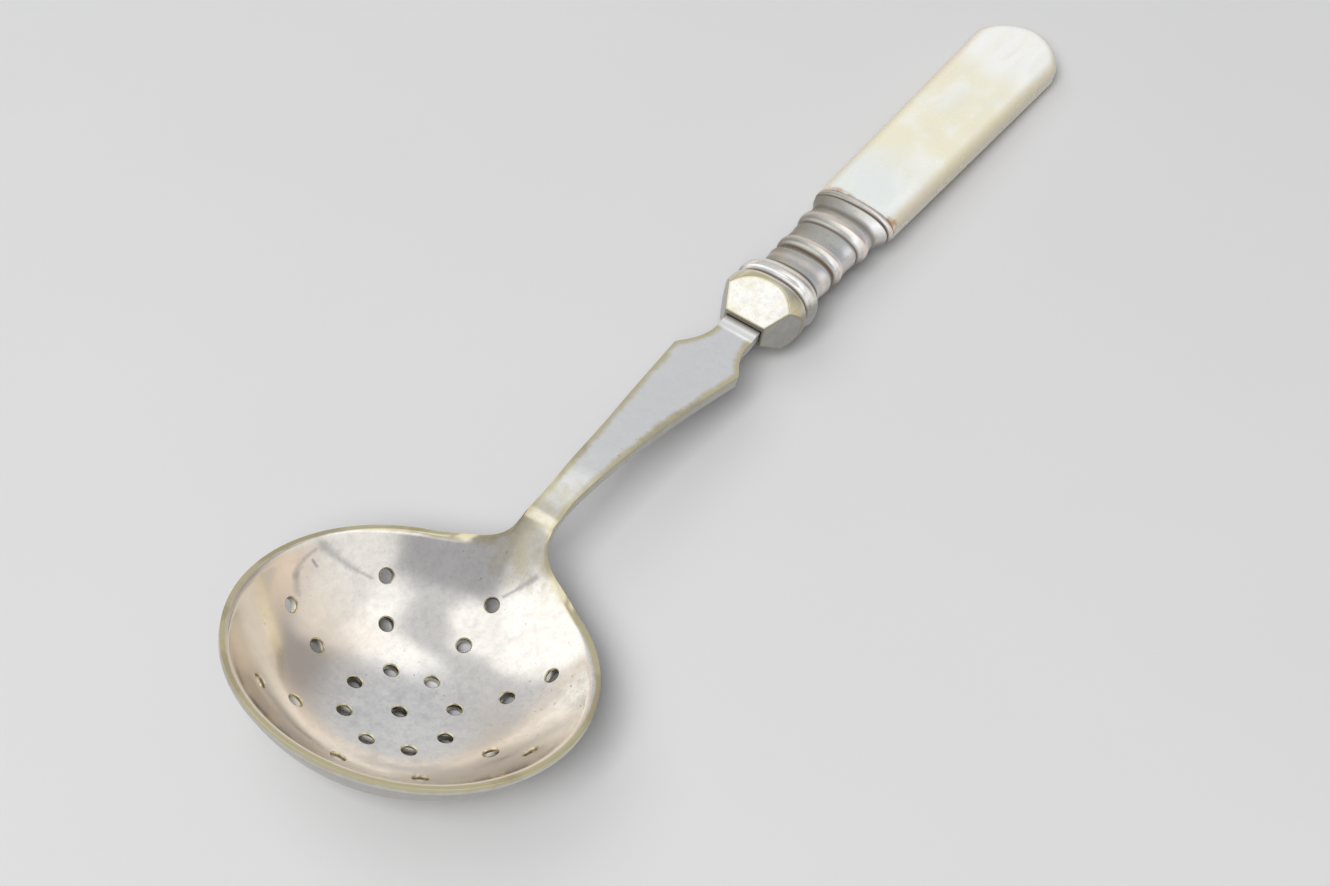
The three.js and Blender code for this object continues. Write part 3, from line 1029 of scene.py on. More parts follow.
@dataclass(frozen=True)
class BowlWear:
    """Where the bowl's plate is worn and dirty, and where painted shade darkens the faces that look down and
    the stem's sides; lengths are millimetres in the rim's frame.

    A pair gives the place where a change starts and the place where it is complete.
    """

    stem_from: tuple[float, float] = (15.0, 21.0)
    rim_strength: float = 2.3
    rim_most: float = 1.2
    rim_reach: float = 0.33
    heel_reach: float = 0.2
    heel_from: tuple[float, float] = (8, 16)
    stem_strength: float = 1.05
    stem_most: float = 1.0
    stem_reach: float = 1.15
    root_strength: float = 0.55
    root_towards: tuple[float, float] = (38, 22)
    painted_shade_facing: tuple[float, float] = (0.3, -0.3)
    painted_shade_on_stem: float = 0.25
    rubbed_strength: float = 0.7
    rubbed_from: tuple[float, float] = (21, 26)
    warm_from: tuple[float, float] = (-9.5, -7.8)
    warm_by_heel: float = 0.25
    warm_towards: tuple[float, float] = (10, 0)
    warm_facing: tuple[float, float] = (0.0, 0.2)
    neck_dirt: float = 0.8
    neck_from: tuple[float, float] = (0.4, 2.0)
    hole_depth: float = 1.5
    hole_edge: float = 0.9
    hole_wall: float = 0.35
    edge_shares: tuple[float, float] = (0.1, 0.9)


@dataclass
class BowlAndStem:
    """The pierced bowl with its stem, pressed from one blank; lengths are millimetres in the rim's frame."""

    half_length: float = 21.2
    half_width: float = 20.0
    centre_x: float = -0.8
    depth: float = 9.36
    flatness: float = 3.158
    inner_edge: float = 0.955
    floor_thickness: float = 1.0
    rim_thickness: float = 0.75
    lip_blend: float = 0.6
    heel_rise: tuple[float, float] = (math.radians(8), math.radians(30))
    heel_fillet_angle: float = math.radians(18)
    heel_fillet_pulls: tuple[float, float] = (2.0, 3.4)
    heel_blend: float = 1.1
    heel_under_blend: float = 1.5
    stem_cut: float = 23.0
    stem_thickness: float = 1.5
    stem_x: tuple[float, ...] = (22.4, 26.0, 31.0, 38.0, 48.0, 59.2)
    stem_tops: tuple[float, ...] = (5.00, 6.45, 7.72, 8.70, 9.72, 10.20)
    stem_halves: tuple[float, ...] = (1.95, 1.75, 2.02, 2.46, 3.40, 4.60)
    scoop_length: float = 6.2
    neck: tuple[float, float, float] = (66.0, 10.75, 2.42)
    tenon_x: tuple[float, ...] = (66.0, 67.25, 71.7)
    tenon_tops: tuple[float, ...] = (10.75, 11.28, 12.03)
    hole_radius: float = 0.82
    hole_rays: int = 8
    hole_rings: tuple[float, ...] = (6.0, 11.44, 15.64)
    hole_ring_stretch: float = 1.042
    edge_rounding: float = 0.36
    edge_steps: int = 4
    sharp_angle: float = 28
    smooth_angle: float = 34
    hole_break: float = 0.13
    hole_flare: tuple[tuple[float, float], ...] = ((0.6, 0.3), (0.4, 0.7))
    hole_sides: int = 40
    punch_reach: float = 2.5
    tenon_steps: int = 5
    root_steps: int = 8
    fillet_steps: int = 18
    rim_steps: int = 94
    stem_step: float = 0.8
    ring_step: float = 0.02
    ring_spread: float = 0.055
    lip_rings: tuple[float, ...] = (0.935, 0.944, 0.951, 0.957, 0.963, 0.972, 0.983, 1.0)
    wear_map: BowlWear = BowlWear()
    blade_top: StationCurve = field(init=False)
    tenon_top: StationCurve = field(init=False)
    half_of: StationCurve = field(init=False)

    def __post_init__(self) -> None:
        """Draws the stem's two curves from its stations."""
        neck_x, neck_top, _ = self.neck
        self.blade_top = StationCurve((*self.stem_x, neck_x), (*self.stem_tops, neck_top))
        self.tenon_top = StationCurve(self.tenon_x, self.tenon_tops)
        self.half_of = StationCurve(self.stem_x, self.stem_halves)

    def stem_top(self, x: np.ndarray) -> np.ndarray:
        """Height of the stem's upper side, which rises at the neck to the tenon in the bolster."""
        return np.where(x <= self.neck[0], self.blade_top(x), self.tenon_top(x))

    def stem_half(self, x: np.ndarray) -> np.ndarray:
        """Half width of the stem's plan: the widening blade, then a scoop to the neck.

        Args:
            x: places along the spoon.

        Returns:
            The half widths.
        """
        shoulder, half = self.stem_x[-1], self.stem_halves[-1]
        left = np.clip((shoulder + self.scoop_length - x) / self.scoop_length, 0, 1)
        scoop = self.neck[2] + (half - self.neck[2]) * left**2
        return np.where(x <= shoulder, self.half_of(np.minimum(x, shoulder)), scoop)

    def share_of_radius(self, x: np.ndarray, y: np.ndarray) -> np.ndarray:
        """How far out a point lies, as a share of the rim's ellipse."""
        return np.hypot((x - self.centre_x) / self.half_length, y / self.half_width)

    def inner_wall(self, x: np.ndarray, y: np.ndarray) -> np.ndarray:
        """Height of the bowl's inside."""
        share = self.share_of_radius(x, y) / self.inner_edge
        return -self.depth * (1 - share**self.flatness)

    def outer_wall(self, x: np.ndarray, y: np.ndarray) -> np.ndarray:
        """Height of the bowl's outside."""
        depth = self.depth + self.floor_thickness - self.rim_thickness
        return -self.rim_thickness - depth * (1 - self.share_of_radius(x, y) ** self.flatness)

    def heel_share(self, x: np.ndarray, y: np.ndarray) -> np.ndarray:
        """How far a spoke that ends at this edge point belongs to the heel."""
        angle = np.abs(np.arctan2(y / self.half_width, (x - self.centre_x) / self.half_length))
        return 1 - smooth_step(*self.heel_rise, angle)

    def top(self, x: np.ndarray, y: np.ndarray, share: np.ndarray) -> np.ndarray:
        """Height of the upper side.

        Args:
            x: places along the spoon.
            y: places across it.
            share: how far each place belongs to the heel and stem.

        Returns:
            The heights.
        """
        wall = self.inner_wall(x, y)
        rim = smooth_min(wall, np.zeros_like(wall), self.lip_blend)
        heel = smooth_min(wall, self.stem_top(x), self.heel_blend)
        return rim + (heel - rim) * share

    def bottom(self, x: np.ndarray, y: np.ndarray, share: np.ndarray) -> np.ndarray:
        """Height of the underside.

        Args:
            x: places along the spoon.
            y: places across it.
            share: how far each place belongs to the heel and stem.

        Returns:
            The heights.
        """
        wall = self.outer_wall(x, y)
        heel = smooth_min(wall, self.stem_top(x) - self.stem_thickness, self.heel_under_blend)
        return wall + (heel - wall) * share

    def half_outline(self) -> np.ndarray:
        """Draws the left side of the plan: half the stem's root, the fillet and the rim to its tip.

        Returns:
            The points of the outline.
        """
        root_half = float(self.stem_half(np.array(self.stem_cut)))
        turn = np.linspace(0, math.pi / 2, self.root_steps, endpoint=False)
        root = np.stack([np.full(turn.shape, self.stem_cut), root_half * np.sin(turn)], axis=1)
        angles = np.linspace(self.heel_fillet_angle, math.pi, self.rim_steps + 1)
        rim_x = self.centre_x + self.half_length * np.cos(angles)
        rim = np.stack([rim_x, self.half_width * np.sin(angles)], axis=1)
        start = np.array([self.stem_cut, root_half])
        stem_pull, rim_pull = self.heel_fillet_pulls
        leave = np.array([
            -self.half_length * math.sin(self.heel_fillet_angle),
            self.half_width * math.cos(self.heel_fillet_angle),
        ])
        handles = start + [-stem_pull, 0], rim[0] - rim_pull * leave / np.linalg.norm(leave)
        k = np.linspace(0, 1, self.fillet_steps, endpoint=False)[:, None]
        fillet = (
            (1 - k) ** 3 * start
            + 3 * (1 - k) ** 2 * k * handles[0]
            + 3 * (1 - k) * k**2 * handles[1]
            + k**3 * rim[0]
        )
        return np.concatenate([root, fillet, rim])

    def outline(self) -> np.ndarray:
        """Plan outline all the way round, one point for each spoke."""
        left = self.half_outline()
        return np.concatenate([left, left[-2:0:-1] * [1, -1]])

    def ring_shares(self) -> np.ndarray:
        """Where the blank's rings lie, as shares of the rim's ellipse."""
        inner = np.arange(0, self.lip_rings[0] - self.ring_step / 2, self.ring_step)
        return np.concatenate([inner, self.lip_rings])

    def cut_blank(self) -> Disc:
        """Cuts the flat blank of the bowl and lays its spokes out to the plan outline.

        Returns:
            The blank.
        """
        edge = self.outline()
        rings = self.ring_shares()
        blank = Disc("pierced_bowl_and_stem", len(edge), len(rings) - 1)
        ends = edge[blank.spoke]
        reach = self.share_of_radius(ends[:, 0], ends[:, 1])
        shares = rings[blank.ring]
        from_share = self.lip_rings[0] - self.ring_spread
        stretch = np.clip((shares - from_share) / (1 - from_share), 0, 1)
        shares = np.where(stretch > 0, from_share + (reach - from_share) * stretch, shares)
        x = self.centre_x + (ends[:, 0] - self.centre_x) * shares / reach
        y = ends[:, 1] * shares / reach
        blank.lay(np.stack([x, y, np.zeros_like(x)], axis=1))
        return blank

    def draw_stem(self, blank: Disc) -> np.ndarray:
        """Draws the stem out of the blank's root, station by station.

        Args:
            blank: the laid-out bowl blank.

        Returns:
            How far each vertex belongs to the heel and stem.
        """
        ends = self.outline()[blank.spoke]
        heel = self.heel_share(ends[:, 0], ends[:, 1])
        from_middle = np.minimum(blank.spoke, blank.spoke.max() + 1 - blank.spoke)
        blank.select("VERT", (blank.ring == blank.ring.max()) & (from_middle <= self.root_steps))
        tenon = np.linspace(self.tenon_x[0], self.tenon_x[1], self.tenon_steps)
        stations = np.concatenate([
            np.arange(self.stem_cut, self.neck[0], self.stem_step), tenon, self.tenon_x[2:],
        ])
        halves = self.stem_half(stations)
        for i in range(1, len(stations)):
            extrude(stations[i] - stations[i - 1], 0, 0)
            bpy.ops.transform.resize(value=(1, halves[i] / halves[i - 1], 1))
        blank.clear_bench()
        stem_count = len(blank.object.data.vertices) - len(heel)
        return np.concatenate([heel, np.ones(stem_count)])

    def press(self, blank: Disc, share: np.ndarray) -> None:
        """Presses the flat blank to the upper side's form and gives it its underside.

        Args:
            blank: the blank with its stem.
            share: how far each vertex belongs to the heel and stem.
        """
        flat = blank.points()
        x, y = flat[:, 0], flat[:, 1]
        blank.modify("SOLIDIFY", thickness=self.floor_thickness, offset=-1, use_rim=True)
        upper = np.stack([x, y, self.top(x, y, share)], axis=1)
        lower = np.stack([x, y, self.bottom(x, y, share)], axis=1)
        blank.lay(np.concatenate([upper, lower]))
        blank.close_up()
        blank.break_edges(self.sharp_angle, self.edge_rounding, self.edge_steps)

    def hole_centres(self) -> np.ndarray:
        """Spaces the holes: one in the middle and rings of eight, with one ray up the stem.

        Returns:
            Their places in plan.
        """
        centres = [(0.0, 0.0)]
        for radius in self.hole_rings:
            for ray in range(self.hole_rays):
                angle = 2 * math.pi * ray / self.hole_rays
                centres.append((radius * self.hole_ring_stretch * math.cos(angle), radius * math.sin(angle)))
        return np.array(centres)

    def hole_frames(self) -> list[Matrix]:
        """Sets each hole square to the inside of the bowl.

        Returns:
            Each hole's place, with Z along its axis.
        """
        frames = []
        step = 0.01
        wall = self.inner_wall
        for x, y in self.hole_centres():
            height = float(wall(x, y))
            across = float(wall(x + step, y) - wall(x - step, y)) / (2 * step)
            over = float(wall(x, y + step) - wall(x, y - step)) / (2 * step)
            normal = Vector((-across, -over, 1)).normalized()
            turn = Vector((0, 0, 1)).rotation_difference(normal).to_matrix().to_4x4()
            frames.append(Matrix.Translation((x, y, height)) @ turn)
        return frames

    def widen(self, pin: Workpiece, side: int) -> None:
        """Draws one end of a punch out past the wall, wider and wider.

        Args:
            pin: the punch.
            side: 1 for the upper end and -1 for the lower.
        """
        height = pin.points()[:, 2] * side
        pin.select("VERT", height > height.max() - self.hole_break / 2)
        radius = self.hole_radius
        for up, out in self.hole_flare:
            wider = radius + out * self.hole_break
            extrude(0, 0, side * up * self.hole_break)
            bpy.ops.transform.resize(value=(wider / radius, wider / radius, 1))
            radius = wider
        extrude(0, 0, side * self.punch_reach)
        spread = 1 + self.punch_reach / 2
        bpy.ops.transform.resize(value=(spread, spread, 1))
        pin.clear_bench()

    def punch(self) -> Workpiece:
        """Makes one punch: a pin that widens roundly at both faces of the wall.

        Returns:
            The punch.
        """
        Workpiece.clear_bench()
        length = self.floor_thickness - 2 * self.hole_break
        middle = (0, 0, -self.floor_thickness / 2)
        bpy.ops.mesh.primitive_cylinder_add(
            vertices=self.hole_sides, radius=self.hole_radius, depth=length, location=middle
        )
        bpy.ops.object.transform_apply(location=True, rotation=True, scale=True)
        pin = Workpiece("punch")
        for side in (1, -1):
            self.widen(pin, side)
        return pin

    def pierce(self, bowl: Workpiece) -> None:
        """Punches every hole.

        Args:
            bowl: the pressed bowl and stem.
        """
        punch = self.punch()
        copies = []
        for place in self.hole_frames():
            copy = punch.object.copy()
            copy.data = punch.object.data.copy()
            copy.data.transform(place)
            bpy.context.scene.collection.objects.link(copy)
            copies.append(copy)
        bpy.data.objects.remove(punch.object)
        Workpiece.clear_bench()
        for copy in copies:
            copy.select_set(True)
        bpy.context.view_layer.objects.active = copies[0]
        bpy.ops.object.join()
        bowl.combine(Workpiece("punches"), "DIFFERENCE")

    def worn_edge(self) -> np.ndarray:
        """Follows the upper edge of the left side from the neck round to the bowl's tip.

        Returns:
            The edge's points in space.
        """
        x = np.arange(self.stem_cut, self.neck[0], self.stem_step)
        side = np.stack([x, self.stem_half(x), self.stem_top(x)], axis=1)[::-1]
        rim = self.half_outline()[self.root_steps + 1 :]
        share = self.heel_share(rim[:, 0], rim[:, 1])
        height = self.top(rim[:, 0], rim[:, 1], share)
        return np.concatenate([side, np.column_stack([rim, height])])

    def wear(self, bowl: Workpiece) -> None:
        """Notes where the plate is worn, dirty, warm in tone or left unpolished, and where painted shade
        darkens it.

        Args:
            bowl: the finished mesh, still in the rim's frame.
        """
        wear = self.wear_map
        points, facing = bowl.points(), bowl.normals()[:, 2]
        x, z = points[:, 0], points[:, 2]
        mirrored = points * [1, 0, 1] + np.abs(points) * [0, 1, 0]
        away = from_line(mirrored, self.worn_edge())
        on_stem = smooth_step(*wear.stem_from, x)
        reach = wear.rim_reach + wear.heel_reach * smooth_step(*wear.heel_from, x)
        on_rim = np.clip(wear.rim_strength - away / reach, 0, wear.rim_most)
        root = wear.root_strength * smooth_step(*wear.root_towards, x)
        along_stem = np.clip(wear.stem_strength - away / wear.stem_reach, root, wear.stem_most)
        bowl.note("wear", on_rim + (along_stem - on_rim) * on_stem)
        # painted shade: faces that look down, and on the stem faces that tilt sideways, are darkened as if in
        # shade
        bowl.note("under", smooth_step(*wear.painted_shade_facing, facing - wear.painted_shade_on_stem * on_stem))
        bowl.note("bright", wear.rubbed_strength * smooth_step(*wear.rubbed_from, x))
        towards_tip = wear.warm_by_heel + (1 - wear.warm_by_heel) * smooth_step(*wear.warm_towards, x)
        up_wall = smooth_step(*wear.warm_from, z)
        bowl.note("warm", up_wall * towards_tip * smooth_step(*wear.warm_facing, facing))
        dirt_from, dirt_to = (self.neck[0] + past for past in wear.neck_from)
        bowl.note("groove", wear.neck_dirt * smooth_step(dirt_from, dirt_to, x))

    def wear_holes(self, bowl: Workpiece) -> None:
        """Notes how far the plate is worn in and round the holes.

        Args:
            bowl: the finished mesh, still in the rim's frame.
        """
        wear = self.wear_map
        inner, outer = (share * self.hole_break for share in wear.edge_shares)
        middles = bowl.middles()
        ring = np.zeros(len(middles))
        for place in self.hole_frames():
            back = np.array(place.inverted())
            local = middles @ back[:3, :3].T + back[:3, 3]
            near = np.hypot(local[:, 0], local[:, 1]) - self.hole_radius
            in_hole = (np.abs(local[:, 2]) < wear.hole_depth) & (near < outer)
            worn = np.where(near > inner, wear.hole_edge, wear.hole_wall)
            ring = np.where(in_hole, worn, ring)
        bowl.note("ring", ring, "FACE")

    def build(self, finish: bpy.types.Material) -> None:
        """Makes the bowl and stem.

        Args:
            finish: its material.
        """
        blank = self.cut_blank()
        share = self.draw_stem(blank)
        self.press(blank, share)
        self.pierce(blank)
        self.wear(blank)
        self.wear_holes(blank)
        blank.seat(FRAMES.rim(), "bowl_and_stem", Slot.PLATE, finish, self.smooth_angle)


# Handle pieces, in millimetres along, across and above the handle's axis


def oval(
    turn: np.ndarray, width: np.ndarray, height: np.ndarray, power: float
) -> tuple[np.ndarray, np.ndarray]:
    """Points of an oval that is a little fuller than an ellipse.

    Args:
        turn: the angle of each point.
        width: half the width of its oval.
        height: half the thickness of its oval.
        power: 2 gives an ellipse, and more gives fuller corners.

    Returns:
        The places across and above the axis.
    """
    across, above = np.cos(turn), np.sin(turn)
    fuller = 2 / power
    return (
        width * np.sign(across) * np.abs(across) ** fuller,
        height * np.sign(above) * np.abs(above) ** fuller,
    )


@dataclass
class Bolster:
    """The faceted bolster with its bead, its slot for the stem and its tang."""

    along: tuple[float, ...] = (-0.4, 5.0, 5.7, 6.3, 6.9, 7.4, 8.1, 8.8, 9.5, 10.2)
    widths: tuple[float, ...] = (5.65, 5.65, 5.55, 5.15, 5.25, 5.55, 5.65, 5.5, 5.0, 4.5)
    heights: tuple[float, ...] = (4.25, 4.25, 4.15, 3.85, 3.9, 4.1, 4.15, 4.0, 3.6, 3.0)
    power: float = 2.35
    front: tuple[float, float, float] = (-0.4, 2.78, 1.4)
    facet_rear: tuple[float, float, float] = (4.95, 5.75, 4.3)
    slot: tuple[float, float, float] = (3.8, 2.52, 0.85)
    tang: tuple[float, float, float] = (58.0, 0.75, 0.4)
    smallest_edge: float = 0.05
    snap_reach: float = 1.5
    snap_rounds: int = 3
    sharp_angle: float = 14
    edge_rounding: float = 0.22
    edge_steps: int = 4
    facet_area: float = 4.0
    facet_border: float = 0.2
    front_depth: float = 0.1
    end_depth: float = 0.01
    end_inset: float = 0.1
    turned_from: float = 5.25
    sides: int = 96
    step: float = 0.12
    dirt: tuple[Band, ...] = ((6.35, 0.4, 0.8), (10.2, 0.6, 1.0))
    rubbed: tuple[Band, ...] = ((5.2, 0.5, 0.75), (8.1, 0.5, 0.35))
    edge_wear: float = 0.5
    # painted shade: the next two fields darken the bolster's sides and lower faces as if in shade
    painted_side_shade: float = 0.85
    side_shade_facing: tuple[float, float] = (0.62, 0.3)
    smooth_angle: float = 30

    def turn_body(self) -> Sleeve:
        """Turns the oval body with its waist and bead.

        Returns:
            The closed body.
        """
        turned = np.arange(self.turned_from, self.along[-1] + self.step / 2, self.step)
        stations = np.concatenate([self.along[:1], turned])
        body = Sleeve("faceted_bolster", self.sides, len(stations), closed=True)
        s = stations[body.ring]
        width = StationCurve(self.along, self.widths)(s)
        height = StationCurve(self.along, self.heights)(s)
        across, above = oval(body.turn, width, height, self.power)
        body.lay(np.stack([s, across, above], axis=1))
        body.close_up()
        return body

    def facet_planes(self) -> list[tuple[Vector, Vector]]:
        """Finds the planes of the four facets.

        Returns:
            A point and the outward normal of each.
        """
        front_s, front_half, front_height = self.front
        rear_s, rear_half, rear_height = self.facet_rear
        run = rear_s - front_s
        planes = []
        for side in (1, -1):
            over = Vector((front_height - rear_height, 0, side * run)).normalized()
            beside = Vector((front_half - rear_half, side * run, 0)).normalized()
            planes.append((Vector((front_s, 0, side * front_height)), over))
            planes.append((Vector((front_s, side * front_half, 0)), beside))
        return planes

    def cut_facets(self, body: Workpiece) -> None:
        """Files the four flat facets at the front, and clears the slivers that the file leaves.

        Args:
            body: the turned body.
        """
        body.edit("FACE")
        for point, normal in self.facet_planes():
            bpy.ops.mesh.select_all(action="SELECT")
            bpy.ops.mesh.bisect(plane_co=point, plane_no=normal, use_fill=True, clear_outer=True)
        body.merge_near(self.smallest_edge)
        points = body.points()
        for point, normal in self.facet_planes() * self.snap_rounds:
            off = (points - np.array(point)) @ np.array(normal)
            off = np.where(np.abs(off) < self.snap_reach * self.smallest_edge, off, 0)
            points = points - off[:, None] * np.array(normal)
        body.lay(points)

    def rule_facets(self, body: Workpiece) -> None:
        """Gives each facet a border, so that its wear stays at its edges.

        Args:
            body: the filed body with its edges broken.
        """
        body.merge_near(self.smallest_edge / 2)
        at = body.middles()[:, 0]
        on_facets = (at > self.front[0] + self.front_depth) & (at < self.along[1])
        body.select("FACE", on_facets & (body.areas() > self.facet_area))
        bpy.ops.mesh.inset(thickness=self.facet_border, use_boundary=True)
        body.clear_bench()

    def lay_out_end(self, body: Workpiece, at_front: bool, half: float, half_height: float) -> None:
        """Marks out a rectangle on one flat end and leaves its face selected in edit mode.

        Args:
            body: the filed body.
            at_front: whether the end is the front or the rear.
            half: half the rectangle's width.
            half_height: half its height.
        """
        out = -body.middles()[:, 0] if at_front else body.middles()[:, 0]
        body.select("FACE", (out > out.max() - self.end_depth) & (body.areas() > self.facet_area))
        bpy.ops.mesh.inset(thickness=self.end_inset)
        body.clear_bench()
        points = body.points()
        chosen = np.array([vertex.select for vertex in body.object.data.vertices])
        across, above = points[chosen, 1] / half, points[chosen, 2] / half_height
        reach = np.maximum(np.abs(across), np.abs(above))
        if at_front:
            across, above, reach = np.sign(across), np.sign(above), 1.0
        points[chosen, 1] = half * across / reach
        points[chosen, 2] = half_height * above / reach
        body.lay(points)
        body.select("FACE", np.array([face.select for face in body.object.data.polygons]))

    def sink_slot(self, body: Workpiece) -> None:
        """Sinks the slot for the stem's tenon into the flat front.

        Args:
            body: the filed body.
        """
        depth, half, half_height = self.slot
        self.lay_out_end(body, True, half, half_height)
        extrude(depth, 0, 0)
        body.clear_bench()

    def draw_tang(self, body: Workpiece) -> None:
        """Draws the tapered square tang out of the rear.

        Args:
            body: the filed body.
        """
        end, root_half, tip_half = self.tang
        self.lay_out_end(body, False, root_half, root_half)
        extrude(end - self.along[-1], 0, 0)
        taper = tip_half / root_half
        bpy.ops.transform.resize(value=(1, taper, taper))
        body.clear_bench()

    def build(self, finish: bpy.types.Material) -> None:
        """Makes the bolster and tang.

        Args:
            finish: its material.
        """
        body = self.turn_body()
        self.cut_facets(body)
        ridges = body.ridges(self.sharp_angle)
        body.break_edges(self.sharp_angle, self.edge_rounding, self.edge_steps)
        self.rule_facets(body)
        self.sink_slot(body)
        self.draw_tang(body)
        points, facing = body.points(), body.normals()[:, 2]
        body.note("groove", bands(points[:, 0], self.dirt))
        by_edge = np.clip(1 - from_edges(points, ridges) / self.edge_wear, 0, 1)
        body.note("wear", np.maximum(by_edge, bands(points[:, 0], self.rubbed)))
        # painted shade: the bolster's sides and lower faces are darkened as if in shade
        body.note("under", self.painted_side_shade * smooth_step(*self.side_shade_facing, facing))
        body.seat(FRAMES.handle(), "bolster_and_tang", Slot.PLATE, finish, self.smooth_angle)


@dataclass
class Ferrule:
    """The thin reeded sleeve between bolster and pearl."""

    along: tuple[float, ...] = (
        10.3, 12.2, 14.0, 14.8, 15.4, 16.0, 16.8, 17.5, 19.0, 20.6,
        21.2, 21.9, 22.8, 23.7, 24.6, 25.9, 27.0, 27.5, 27.8, 28.1, 28.6, 29.1,
    )
    widths: tuple[float, ...] = (
        4.4, 4.3, 4.45, 4.2, 4.2, 4.55, 4.65, 4.45, 4.4, 4.5,
        4.4, 4.8, 5.0, 4.85, 4.65, 4.75, 5.25, 5.5, 5.4, 5.68, 5.75, 5.62,
    )
    heights: tuple[float, ...] = (
        2.9, 2.6, 2.55, 2.3, 2.3, 2.6, 2.7, 2.55, 2.45, 2.45,
        2.35, 2.6, 2.75, 2.6, 2.35, 2.3, 2.4, 2.48, 2.36, 2.56, 2.6, 2.48,
    )
    grooves: tuple[Band, ...] = (
        (10.3, 0.5, 0.9), (15.1, 0.55, 0.9), (21.2, 0.35, 0.75),
        (25.2, 0.8, 0.6), (27.8, 0.22, 0.9), (29.1, 0.3, 0.8),
    )
    ridges: tuple[Band, ...] = (
        (12.6, 0.8, 0.75), (16.8, 0.55, 1.0), (22.8, 0.7, 1.0), (28.5, 0.35, 0.9),
    )
    power: float = 2.35
    wall: float = 0.38
    sides: int = 144
    step: float = 0.1
    sharp_angle: float = 60
    edge_rounding: float = 0.1
    # painted shade: the next two ranges darken the far side and the lower side as if in shade; ridge_keeps
    # spares the ridges part of it
    painted_far_shade: tuple[float, float] = (-0.08, 0.62)
    underside: tuple[float, float] = (0.2, -0.3)
    ridge_keeps: float = 0.5
    # painted highlight: the band of faces tilted towards the near side, on the upper half, that get a lighter
    # polished colour
    rubbed: Band = (-0.5, 0.3, 0.9)
    smooth_angle: float = 40

    def draw_sleeve(self) -> Sleeve:
        """Draws the thin wall to its sections.

        Returns:
            The closed mesh of the sleeve.
        """
        stations = np.arange(self.along[0], self.along[-1] + self.step / 2, self.step)
        sleeve = Sleeve("reeded_ferrule", self.sides, len(stations), closed=False)
        s = stations[sleeve.ring]
        width = StationCurve(self.along, self.widths)(s)
        height = StationCurve(self.along, self.heights)(s)
        sleeve.modify("SOLIDIFY", thickness=self.wall, offset=-1, use_rim=True)
        outer = np.stack([s, *oval(sleeve.turn, width, height, self.power)], axis=1)
        inner = np.stack([s, *oval(sleeve.turn, width - self.wall, height - self.wall, self.power)], axis=1)
        sleeve.lay(np.concatenate([outer, inner]))
        sleeve.close_up()
        sleeve.break_edges(self.sharp_angle, self.edge_rounding)
        return sleeve

    def build(self, finish: bpy.types.Material) -> None:
        """Makes the ferrule.

        Args:
            finish: its material.
        """
        sleeve = self.draw_sleeve()
        at = sleeve.points()[:, 0]
        across, above = sleeve.normals()[:, 1], sleeve.normals()[:, 2]
        grooves, ridges = bands(at, self.grooves), bands(at, self.ridges)
        sleeve.note("groove", grooves)
        sleeve.note("wear", ridges)
        # painted shade on the far side and the lower side, kept in the "under" mask
        painted_far_shade = smooth_step(*self.painted_far_shade, across) * (1 - self.ridge_keeps * ridges)
        sleeve.note("under", np.maximum(painted_far_shade, smooth_step(*self.underside, above)))
        # painted highlight: a lighter strip along the near upper side, kept in the "bright" mask
        sleeve.note("bright", bands(across, (self.rubbed,)) * (above > 0) * (1 - grooves))
        sleeve.seat(FRAMES.handle(), "ferrule", Slot.FERRULE, finish, self.smooth_angle)


